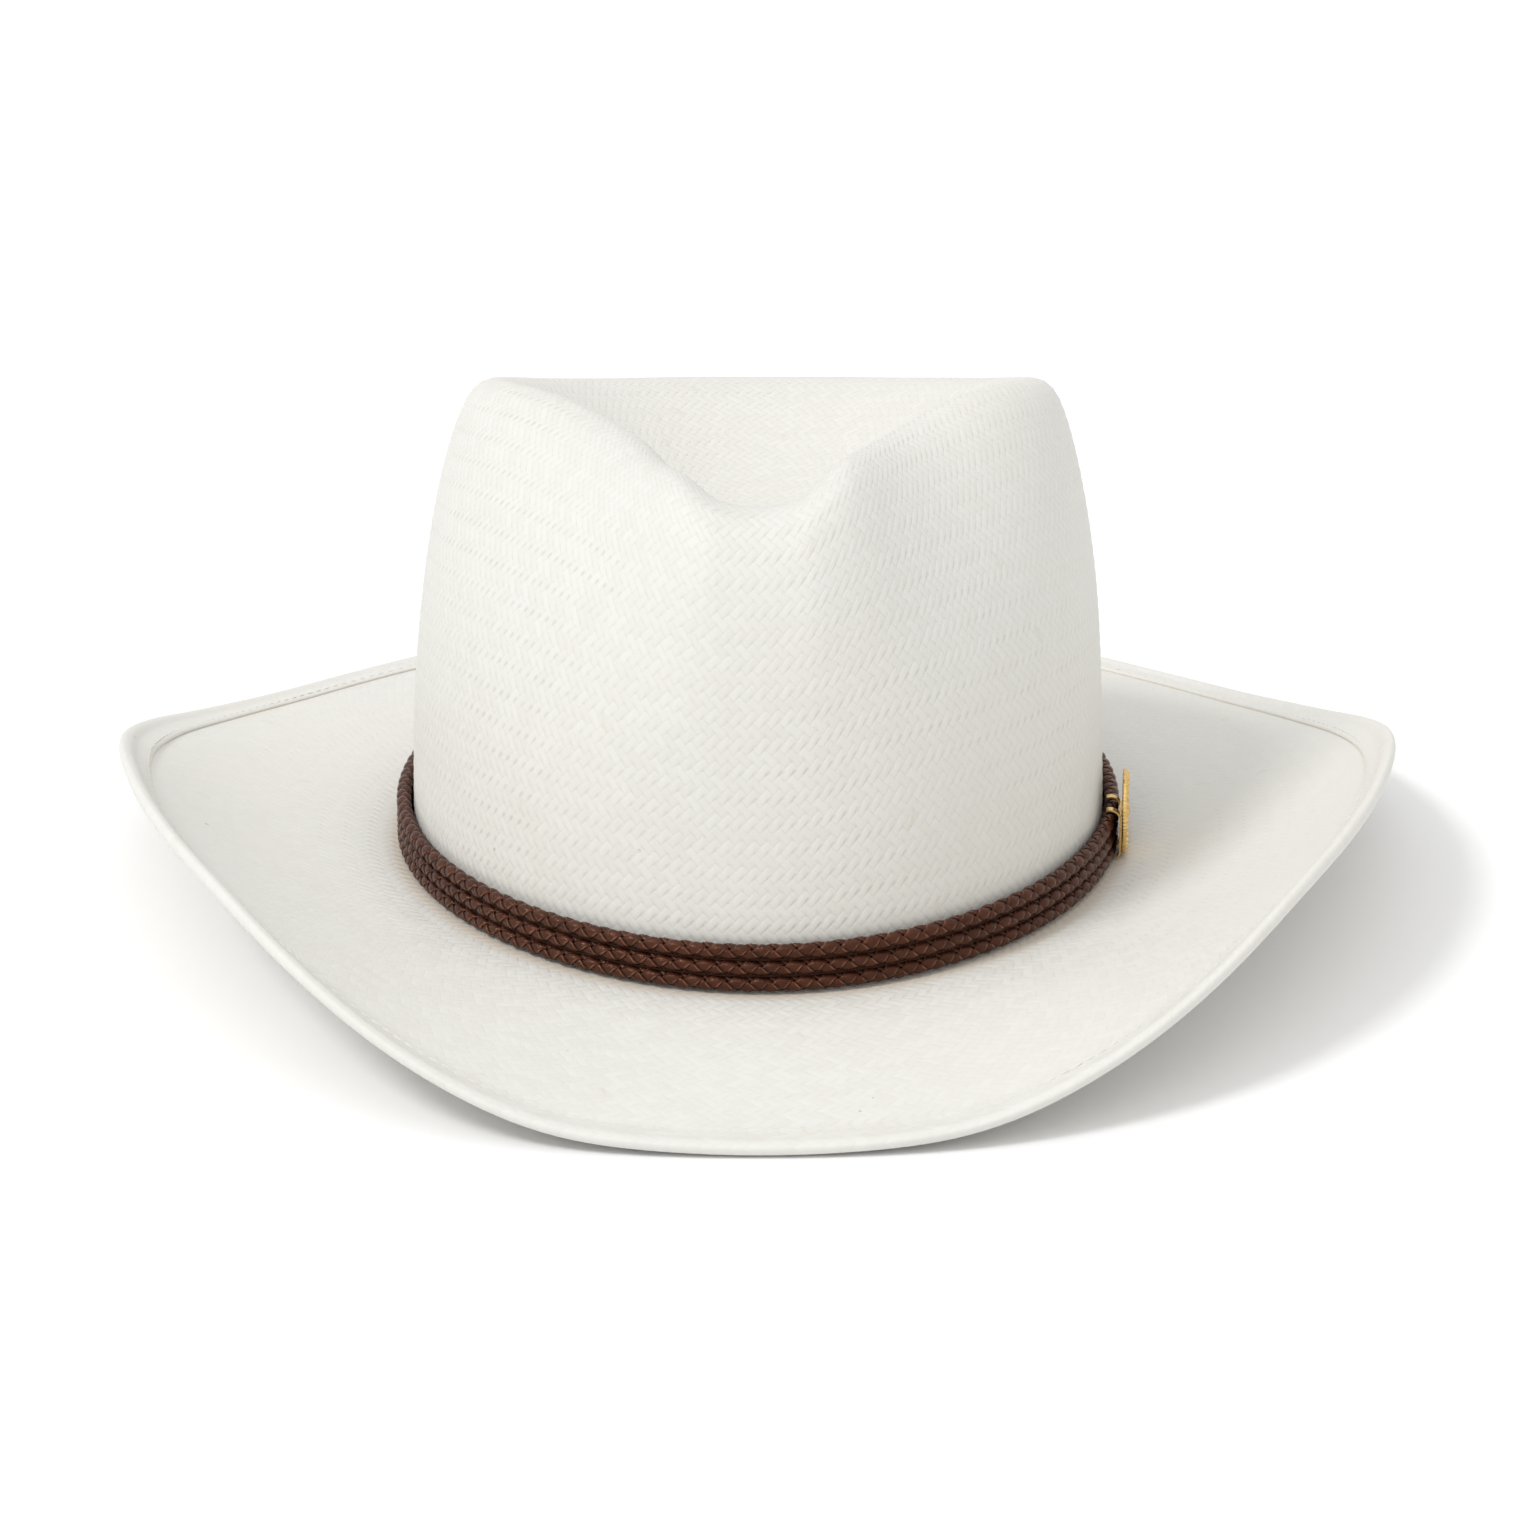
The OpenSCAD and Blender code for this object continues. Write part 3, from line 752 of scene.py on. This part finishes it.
def medallion():
    CRAD = 10.3
    nt = 360
    th = np.arange(nt) * 2 * np.pi / nt
    rad = np.concatenate([np.linspace(0.06, 6.6, 54), np.linspace(6.72, 10.05, 40)])
    r, t = np.meshgrid(rad, th, indexing="ij")
    h = 5.62 + 0.60 * (1 - (r / CRAD) ** 2)  # field, domed
    base = h.copy()
    # eight broad petals with a vein, eight pointed leaves between
    for k in range(8):
        for half, r0, r1, wid, lift in ((0.0, 2.3, 6.4, 0.30, 0.42), (0.5, 3.4, 6.55, 0.15, 0.30)):
            a = (k + half) * np.pi / 4
            d = np.angle(np.exp(1j * (t - a)))
            q = np.clip((r - r0) / (r1 - r0), 0, 1)
            w = wid * np.sin(np.pi * q**0.8) ** 0.75 + 1e-4
            inside = np.clip(1 - (d / w) ** 2, 0, 1) * (r > r0) * (r < r1)
            vein = np.exp(-((d * r / 0.16) ** 2)) * 0.16 * (half == 0.0)
            rib = 0.04 * np.cos(d * r * 9.0) * (half == 0.0)
            h = np.maximum(h, base + lift * np.sqrt(inside) * (1 - vein / 0.42) + np.where(inside > 0.1, rib, 0))
    # boss with a beaded collar
    boss = np.sqrt(np.clip(1 - (r / 1.75) ** 2, 0, 1))
    h = np.maximum(h, 6.18 + 0.70 * boss * (r < 1.75))
    for k in range(14):
        a = k * 2 * np.pi / 14
        d2 = (r * np.cos(t - a) - 2.1) ** 2 + (r * np.sin(t - a)) ** 2
        h = np.maximum(h, 6.18 + 0.42 * np.sqrt(np.clip(1 - d2 / 0.44**2, 0, 1)) * (d2 < 0.44**2))
    # twisted rope ring
    q = (r - 7.35) / 0.52
    rope = np.sqrt(np.clip(1 - q**2, 0, 1)) * (0.72 + 0.28 * np.cos(40 * t + 2.2 * q))
    h = np.where(np.abs(q) < 1, np.maximum(h, 5.88 + 0.42 * rope), h)
    # rim with thirty beads between two fine wires
    rim = smoothstep(8.0, 8.15, r)
    h = np.where(r > 8.0, 5.66 + 0.16 * rim, h)
    for rc, hw in ((8.22, 0.14), (10.0, 0.22)):
        qq = (r - rc) / hw
        h = np.where(np.abs(qq) < 1, np.maximum(h, 5.86 + 0.26 * np.sqrt(np.clip(1 - qq**2, 0, 1))), h)
    for k in range(30):
        a = k * np.pi / 15
        d2 = (r * np.cos(t - a) - 9.12) ** 2 + (r * np.sin(t - a)) ** 2
        h = np.maximum(h, 5.84 + 0.76 * np.sqrt(np.clip(1 - d2 / 0.74**2, 0, 1)) * (d2 < 0.74**2))
    relief = np.clip((h - base) / 0.34, 0, 1)
    relief = np.where(r > 8.05, np.clip((h - 5.86) / 0.24, 0, 1), relief)
    # struck metal is never quite even
    h = h + 0.03 * np.sin(r * 1.9 + 3 * np.sin(2 * t)) * np.sin(3 * t + 1.0)
    face = [np.stack([h[i], r[i] * np.sin(t[i]), r[i] * np.cos(t[i])], -1) for i in range(len(rad))]
    tone = [relief[i] for i in range(len(rad))]
    for rk, xk, tk in ((10.2, 5.93, 0.9), (10.28, 5.78, 0.8), (10.3, 5.55, 0.6), (10.3, 5.28, 0.5), (10.24, 5.1, 0.4),
                       (10.08, 5.02, 0.3), (9.6, 5.0, 0.2), (8.6, 5.0, 0.1), (8.35, 5.08, 0.0), (8.3, 5.36, 0.0),
                       (6.0, 5.4, 0.1), (4.0, 5.4, 0.1), (2.0, 5.4, 0.1), (1.56, 5.42, 0.1), (1.56, 5.5, 0.0)):
        mill = 0.5 + 0.5 * np.cos(72 * th)
        rk = rk - 0.10 * (1 - mill) * (rk > 10.15)
        face.append(np.stack([np.full(nt, xk), rk * np.sin(th), rk * np.cos(th)], -1))
        tone.append(np.clip(tk + 0.25 - 0.18 * (1 - mill) * (tk > 0.45) + 0.25 * np.sin(5 * th + 1) * np.sin(11 * th), 0, 1))
    L = np.array(face)
    vv, f = loft(L, close_r=False, close_c=True, flip=True)
    f = f.tolist()
    f.append(list(range(nt)))
    last = (len(face) - 1) * nt
    f.append(list(range(last + nt - 1, last - 1, -1)))
    ob = new_object("medallion_disc", medallion_place(vv), f, attrs={"tone": np.concatenate(tone)})
    return ob


def gold_material(name, with_tone=True):
    n = Nodes(name)
    g = n.noise(n.obj(), 700.0, 3.0, 0.6)
    big = n.noise(n.obj(), 160.0, 2.0, 0.5)
    bright = n.mix(n.ramp(g, 0.0, 1.0, 0.3, 0.7), (0.78, 0.50, 0.16), (0.90, 0.64, 0.27))
    bright = n.mix(n.ramp(big, 0.0, 0.6, 0.45, 0.75), bright, (0.58, 0.34, 0.10))
    if with_tone:
        tone = n.attr("tone")
        k = n.ramp(tone + (g - 0.5) * 0.35, 0.0, 1.0, 0.12, 0.62)
    else:
        k = n.ramp(g + big * 0.3, 0.55, 1.0, 0.25, 0.65)
    col = n.mix(k, (0.085, 0.036, 0.014), bright)
    rough = 0.62 - k * 0.36 + (g - 0.5) * 0.12
    scratch = n.noise(n.vec(g * 4.0, big * 9.0, g * 2.0), 6.0, 2.0, 0.6)
    n.put(n.bsdf.inputs["Metallic"], k * 0.75 + 0.25)
    return n.finish(col, rough, n.bump(g * 0.7 + scratch * 0.3, 0.00005, 0.5))


disc = medallion()
disc.data.materials.append(gold_material("medallion_gold"))
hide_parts("concho")
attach(disc, "medallion")
keeper_gold = gold_material("keeper_gold", with_tone=False)
for nm in ("concho_keeper", "concho_post"):
    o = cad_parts[nm]
    o.data.materials.clear()
    o.data.materials.append(keeper_gold)

# ------------------------------------------------------------------ wire inside the fold: drawn steel
nw = Nodes("drawn_steel")
gx = nw.noise(nw.obj(), 900.0, 3.0, 0.6)
gy = nw.noise(nw.obj(), 60.0, 2.0, 0.5)
steel = nw.finish(nw.mix(nw.ramp(gx, 0.0, 1.0, 0.3, 0.7), (0.42, 0.42, 0.44), (0.62, 0.62, 0.65)),
                  nw.ramp(gy, 0.28, 0.45), nw.bump(gx, 0.00003, 0.4), Metallic=1.0)
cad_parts["brim_wire"].data.materials.clear()
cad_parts["brim_wire"].data.materials.append(steel)


# ------------------------------------------------------------------ thread
def thread_material(name, a, b):
    n = Nodes(name)
    twist = n.noise(n.obj(), 1800.0, 2.0, 0.5)
    tone = n.attr("tone")
    col = n.mix(n.ramp(twist, 0.0, 1.0, 0.3, 0.7), a, b)
    col = n.mix(tone * 0.35, col, tuple(0.8 * c for c in a))
    return n.finish(col, n.ramp(twist, 0.55, 0.75), n.bump(twist, 0.00008, 0.6), Sheen_Weight=0.2)


def stitches(name, count, place, length, rad, lift=0.0, lean=0.0):
    """Rows of single lock stitches: place(fraction, sideways, height) gives points in mm."""
    part = Parts()
    k = 7
    prof = np.array([0.35, 0.8, 0.97, 1.0, 0.97, 0.8, 0.35]) * rad
    dip = np.array([-0.9, -0.35, 0.0, 0.08, 0.0, -0.35, -0.9]) * rad
    ts = np.linspace(-0.5, 0.5, k)
    for i in range(count):
        f0 = (i + 0.5) / count
        ll = length * (1 + 0.06 * rng.standard_normal())
        tilt = lean + 0.08 * rng.standard_normal()
        side = 0.05 * rng.standard_normal() * rad * 4
        c, up, sd = place(f0, ts * ll, side + ts * ll * tilt, dip + lift)
        v, f = soft_tube(c, prof, up, sd, sides=8)
        part.add(v, f, np.full(len(v), rng.random()))
    return part.make(name, "tone")


# edge line on the fold: distance from the outer edge 8.1, height 1.24 above the upper face
bx = np.linspace(0, 360, 3601)
be = brim_pt(bx, brim_width(bx) - 8.1, 1.24)
bl = np.concatenate([[0], np.cumsum(np.linalg.norm(np.diff(be, axis=0), axis=1))])


def edge_place(f0, along, side, lift):
    q = np.interp((f0 * bl[-1] + along) % bl[-1], bl, bx)
    w_ = smoothstep(72, 104, fold180(q))
    t_ = 0.93 * w_ + 0.98 * smoothstep(0.75, 6.2, 2.4) * (1 - w_)
    c = brim_pt(q, brim_width(q) - 8.1 + side, t_ + lift)
    up = brim_pt(q, brim_width(q) - 8.1, 2.16) - brim_pt(q, brim_width(q) - 8.1, 1.16)
    sd = brim_pt(q, brim_width(q) - 7.1, 1.16) - brim_pt(q, brim_width(q) - 8.1, 1.16)
    return c, up / np.linalg.norm(up, axis=1, keepdims=True), sd / np.linalg.norm(sd, axis=1, keepdims=True)


edge = stitches("edge_lockstitches", int(bl[-1] / 3.4), edge_place, 2.6, 0.16)
edge.data.materials.append(thread_material("straw_thread_mat", (0.74, 0.72, 0.665), (0.79, 0.775, 0.73)))
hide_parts("edge_stitching")
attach(edge, "hat")

# ------------------------------------------------------------------ sweatband, its piping and stitches
SW = np.array([[0.0, 1.8], [0.33, 2.1], [0.66, 2.8], [1.0, 3.8]])


def sweat_inset(h):
    return np.interp(h, SW[:, 0], SW[:, 1])


def sweatband():
    nc = 360
    gap = 0.35
    pp = np.linspace(180 + gap, 540 - gap, nc)
    prof = []
    for h in np.linspace(0, 0.985, 22):
        prof.append((h, 0.0))
    prof += [(0.993, 0.03), (0.999, 0.2), (1.0, 0.45), (0.999, 0.7), (0.993, 0.86)]
    for h in np.linspace(0.985, 0.0, 22):
        prof.append((h, 0.9))
    prof += [(-0.006, 0.75), (-0.009, 0.45), (-0.006, 0.15)]
    R = []
    U = around(np.mod(pp, 360))
    for h, d in prof:
        wave = 0.26 * np.sin(2 * np.pi * 7 * U + 0.4) + 0.16 * np.sin(2 * np.pi * 17 * U + 2.2)
        # a shallow sewn channel, then the free edge leans in
        ch = 0.20 * np.exp(-(((h - 0.105) / 0.022) ** 2)) if d > 0.5 else 0.0
        ins = sweat_inset(max(h, 0)) + d - ch + np.maximum(wave, -0.2) * h**2 * 0.6
        hh = break_h(pp) - 0.3 + h * 32 + 0.25 * np.sin(2 * np.pi * 5 * U + 1) * h**3 * (-1) - 0.25 * h**3
        R.append(oval_pt(pp, -ins, hh))
    R = np.array(R)
    v, f = loft(R, close_r=True, close_c=False)
    f = f.tolist()
    m = len(prof)
    f.append([j * nc for j in range(m)][::-1])
    f.append([j * nc + nc - 1 for j in range(m)])
    tone = np.zeros((m, nc))
    hv = np.array([q[0] for q in prof])
    tone += np.exp(-(((hv - 1.0) / 0.03) ** 2))[:, None] * 0.8
    return new_object("sweatband_strip", v, f, attrs={"tone": tone.ravel()})


strip = sweatband()
strip.data.materials.append(leather("sweat_leather_mat", (0.245, 0.125, 0.060), (0.345, 0.188, 0.098), (0.46, 0.29, 0.17),
                                    0.50, 0.6))
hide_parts("sweatband")
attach(strip, "hat")


def piping():
    """Cloth-covered reed with a fine spiral of the covering."""
    nc, k = 540, 12
    part = Parts()
    s = np.arange(nc) / nc
    q, pt, nn, tt = oval_frame(s)
    a = -np.arange(k) * 2 * np.pi / k
    twist = 1 + 0.045 * np.cos(3 * a[None, :] + 2 * np.pi * 150 * s[:, None])
    ra = -1.5 - 0.15 - 1.1 + 1.06 * twist * np.cos(a)[None, :]
    zz = break_h(q)[:, None] - 0.35 - 1.1 + 1.06 * twist * np.sin(a)[None, :]
    pts = pt[:, None, :] + nn[:, None, :] * ra[..., None]
    pts[..., 2] = zz
    v, f = loft(pts, flip=True)
    # tone follows the spiral of the covering; cloth_material paints shade into its low turns
    part.add(v, f, (twist - 0.955) / 0.09 * np.ones_like(ra))
    return part.make("sweatband_piping", "tone")


def cloth_material(name, a, b, scale=1.0, rough=0.8):
    n = Nodes(name)
    o = n.obj()
    w = n.noise(o, 900.0 * scale, 3.0, 0.6)
    big = n.noise(o, 80.0, 2.0, 0.5)
    cell = n.voronoi(o, 1900.0 * scale, "F1")
    tone = n.attr("tone")
    col = n.mix(n.ramp(w, 0.0, 1.0, 0.3, 0.7), a, b)
    col = n.mix(n.ramp(big, 0.0, 0.4, 0.4, 0.7), col, tuple(0.88 * c for c in a))
    # painted shade where tone is low, in the grooves of the piping's spiral; the tag's tone is 1, so none there
    col = n.mix((1.0 - tone) * 0.25, col, tuple(0.72 * c for c in a))
    return n.finish(col, n.ramp(w, rough - 0.1, rough + 0.1), n.bump(w * 0.5 + cell * 0.5, 0.00012, 0.6),
                    Sheen_Weight=0.25, Sheen_Roughness=0.5)


reed = piping()
reed.data.materials.append(cloth_material("reed_cloth_mat", (0.66, 0.60, 0.49), (0.78, 0.73, 0.62)))
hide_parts("sweatband_reed")
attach(reed, "hat")

SWT = OVAL - 2 * np.pi * 3.0


def sweat_place(f0, along, side, lift):
    f = f0 + along / SWT
    q = at_length(f)
    nx, ny = oval_n(q)
    up = np.stack([-nx, -ny, np.zeros_like(nx)], -1)
    c = oval_pt(q, -2.92 - lift, break_h(q) + 3.2 + side)
    sd = np.tile(np.array([0.0, 0, 1.0]), (len(q), 1))
    return c, up, sd


sst = stitches("sweatband_lockstitches", 176, sweat_place, 2.6, 0.24, lean=0.16)
sst.data.materials.append(thread_material("sweat_thread_mat", (0.72, 0.64, 0.48), (0.84, 0.78, 0.64)))
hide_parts("sweatband_stitching")
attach(sst, "hat")


# ------------------------------------------------------------------ ribbon bow at the back of the sweatband
def ribbon(points, width, side, thick=0.26, nw=9, curl=0.0):
    """A flat ribbon along points; side is the width direction at each station."""
    pts = np.asarray(points, float)
    t = np.gradient(pts, axis=0)
    t /= np.linalg.norm(t, axis=1, keepdims=True)
    sd = np.asarray(side, float)
    sd = sd - (sd * t).sum(1, keepdims=True) * t
    sd /= np.linalg.norm(sd, axis=1, keepdims=True)
    nrm = np.cross(t, sd)
    x = np.linspace(-0.5, 0.5, nw)
    top = [(a, 0.5) for a in x]
    bot = [(a, -0.5) for a in x[::-1]]
    prof = np.array(top + bot)
    w = np.asarray(width)[:, None, None]
    cup = curl * (np.abs(prof[:, 0]) * 2) ** 2
    P_ = pts[:, None, :] + sd[:, None, :] * (prof[None, :, 0:1] * w) + nrm[:, None, :] * (
        prof[None, :, 1:2] * thick + cup[None, :, None])
    v, f = loft(P_, close_r=False, close_c=True)
    f = f.tolist()
    k = len(prof)
    f.append(list(range(k)))
    f.append(list(range(len(v) - 1, len(v) - 1 - k, -1)))
    tone = np.tile(np.exp(-(((0.5 - np.abs(prof[:, 0])) / 0.06) ** 2)), len(pts))
    return v, f, tone


def bow():
    lo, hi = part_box("sweatband_bow")
    c = np.array([(lo[0] + hi[0]) / 2, (lo[1] + hi[1]) / 2, (BZ + 8.5) / 1000.0]) * 1000
    c[0] = 0.0
    part = Parts()
    s = np.linspace(0, 1, 41)
    for sx in (-1, 1):
        # out on the ply against the leather, round the end, back on the inner ply
        ang = s * 2 * np.pi
        x = sx * (0.6 + 8.7 * np.sin(np.pi * s) ** 0.75)
        y = 0.62 * np.cos(np.pi * s) * (0.35 + 0.65 * np.sin(np.pi * s))
        z = 0.25 + 2.1 * np.sin(np.pi * s) ** 1.2 + 0.25 * np.cos(np.pi * s)
        w = 1.5 + 3.3 * np.sin(np.pi * s) ** 0.8
        side = np.tile(np.array([-0.22 * sx, 0.0, 1.0]), (len(s), 1))
        v, f, t = ribbon(np.stack([x, y, z], -1) + c, w, side, 0.24, curl=0.10)
        part.add(v, f, t)
    s2 = np.linspace(0, 1, 21)
    for sx, ln in ((-1, 5.9), (1, 5.5)):
        x = sx * (0.5 + 4.2 * s2 ** 0.9)
        y = 0.15 * np.sin(s2 * 5) - 0.1 + 0.25 * s2
        z = -0.2 - ln * s2
        w = 1.5 + 2.2 * s2**0.6
        side = np.tile(np.array([1.0, 0.0, 0.55 * sx]), (len(s2), 1))
        v, f, t = ribbon(np.stack([x, y, z], -1) + c, w, side, 0.24, curl=0.06)
        part.add(v, f, t)
    # knot: the ribbon wrapped once round the middle
    a = np.linspace(0, 2 * np.pi, 33)[:-1]
    ring = np.stack([0.35 * np.sin(a) * 0, 1.12 * np.cos(a), 1.35 * np.sin(a)], -1) + c
    xs = np.linspace(-0.5, 0.5, 9)
    P_ = []
    for xx in xs:
        k = 1 - 0.35 * (2 * xx) ** 2
        P_.append(ring + np.array([xx * 2.9, 0, 0]) + (ring - c) * (k - 1) * 0.5)
    for xx in xs[::-1]:
        P_.append(c + (ring - c) * 0.72 + np.array([xx * 2.7, 0, 0]))
    P_ = np.transpose(np.array(P_), (1, 0, 2))
    v, f = loft(P_, close_r=True, close_c=True)
    part.add(v, f, np.zeros(len(v)))
    return part.make("ribbon_bow", "tone")


def ribbon_material():
    n = Nodes("ribbon_mat")
    o = n.obj()
    w = n.noise(o, 1500.0, 2.0, 0.5)
    sep = n.node("ShaderNodeSeparateXYZ")
    n.t.links.new(o, sep.inputs[0])
    z = Val(n, sep.outputs[2])
    x = Val(n, sep.outputs[0])
    cords = ((x * 1.0 + z * 0.25) * 14000.0).sin()
    tone = n.attr("tone")
    col = n.mix(n.ramp(w, 0.0, 1.0, 0.3, 0.7), (0.055, 0.028, 0.018), (0.095, 0.052, 0.035))
    col = n.mix(tone * 0.4, col, (0.14, 0.085, 0.06))
    return n.finish(col, n.ramp(w, 0.38, 0.55), n.bump(cords * 0.5 + w * 0.5, 0.00005, 0.5), Sheen_Weight=0.4,
                    Sheen_Roughness=0.4)


bw = bow()
bw.data.materials.append(ribbon_material())
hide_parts("sweatband_bow")
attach(bw, "hat")


# ------------------------------------------------------------------ blank woven tag
def tag():
    n1, n2 = 25, 15
    q = 156.0
    nx, ny = oval_n(np.array([q]))
    nrm = np.array([nx[0], ny[0], 0.0])
    tng = np.array([-ny[0], nx[0], 0.0])
    base = oval_pt(np.array([q]), -4.1, np.array([BZ + 5.0]))[0]
    a4 = math.radians(4)
    up = np.array([nrm[0] * -math.sin(a4), nrm[1] * -math.sin(a4), math.cos(a4)])
    out = []
    for side in (1, -1):
        g = []
        for j in range(n2):
            zz = 13.0 * j / (n2 - 1)
            row = []
            for i in range(n1):
                w = -8 + 16.0 * i / (n1 - 1)
                e = min(1.0, min(w + 8, 8 - w) / 0.7, min(zz, 13 - zz) / 0.7)
                bow_ = -0.10 * (w / 8) ** 2 + 0.08 * math.sin(w * 0.5 + zz * 0.3)
                row.append(base + tng * w + up * zz + nrm * (bow_ + side * (0.05 + 0.09 * e ** 0.5)))
            g.append(row)
        out.append(np.array(g))
    V = np.concatenate([out[0].reshape(-1, 3), out[1].reshape(-1, 3)])
    f1, _, _ = grid(n2, n1, False, False)
    f2 = f1[:, ::-1] + n1 * n2
    F = f1.tolist() + f2.tolist()
    loop = [i for i in range(n1)] + [j * n1 + n1 - 1 for j in range(1, n2)] + [
        (n2 - 1) * n1 + i for i in range(n1 - 2, -1, -1)] + [j * n1 for j in range(n2 - 2, 0, -1)]
    m = n1 * n2
    for k in range(len(loop)):
        a_, b_ = loop[k], loop[(k + 1) % len(loop)]
        F.append([b_, a_, a_ + m, b_ + m])
    tone = np.ones(len(V))
    return new_object("blank_tag", V, F, attrs={"tone": tone})


tg = tag()
tg.data.materials.append(cloth_material("tag_mat", (0.70, 0.68, 0.62), (0.82, 0.80, 0.75), 0.8))
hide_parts("size_tag")
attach(tg, "hat")

# ------------------------------------------------------------------ floor, light, camera
me = bpy.data.meshes.new("floor")
fn, half = 40, 60.0
gx_, gy_ = np.meshgrid(np.linspace(-half, half, fn), np.linspace(-half, half, fn), indexing="ij")
fv = np.stack([gx_, gy_, np.full_like(gx_, -0.0002)], -1).reshape(-1, 3)
ff, _, _ = grid(fn, fn, False, False)
me.from_pydata(fv.tolist(), [], ff[:, ::-1].tolist())
floor = bpy.data.objects.new("floor", me)
bpy.context.collection.objects.link(floor)
nf = Nodes("floor_paper")
fg = nf.noise(nf.obj(), 6.0, 3.0, 0.5)
floor.data.materials.append(nf.finish(nf.mix(fg, (0.93, 0.93, 0.93), (0.945, 0.945, 0.943)), nf.ramp(fg, 0.85, 0.95),
                                      nf.bump(nf.noise(nf.obj(), 900.0, 2.0), 0.00002, 0.3), Specular_IOR_Level=0.1))

world = bpy.data.worlds.new("studio")
bpy.context.scene.world = world
world.use_nodes = True
bg = world.node_tree.nodes["Background"]
bg.inputs[0].default_value = (1.0, 1.0, 1.0, 1.0)
bg.inputs[1].default_value = 0.80


def sun(name, az, el, strength, angle, color=(1, 1, 1)):
    """az: direction the light comes from, 0 = the camera's side (-Y), 90 = +X."""
    d = bpy.data.lights.new(name, "SUN")
    d.energy = strength
    d.angle = math.radians(angle)
    d.color = color
    o = bpy.data.objects.new(name, d)
    bpy.context.collection.objects.link(o)
    a, e = math.radians(az), math.radians(el)
    back = Vector((math.sin(a) * math.cos(e), -math.cos(a) * math.cos(e), math.sin(e)))
    o.rotation_mode = "QUATERNION"
    o.rotation_quaternion = back.to_track_quat("Z", "Y")
    return o


sun("key", -60, 51, 1.22, 15)
sun("fill", -20, 75, 0.35, 60)

T = np.array([1.27, -2.3, 27.1]) / 1000
el, yaw, D = math.radians(20.2), math.radians(-0.42), 1.4
back = np.array([math.sin(yaw) * math.cos(el), -math.cos(yaw) * math.cos(el), math.sin(el)])
cam = bpy.data.cameras.new("camera")
cam.sensor_width = 36
cam.lens = 5684 / 1526 * 36
cam.clip_start, cam.clip_end = 0.05, 30
co = bpy.data.objects.new("camera", cam)
bpy.context.collection.objects.link(co)
co.location = T + back * D
co.rotation_mode = "QUATERNION"
co.rotation_quaternion = Vector(-back).to_track_quat("-Z", "Y")
bpy.context.scene.camera = co

vs = bpy.context.scene.view_settings
vs.view_transform = "Standard"
vs.look = "None"
vs.exposure = 0.0
vs.gamma = 1.0

bpy.context.view_layer.update()
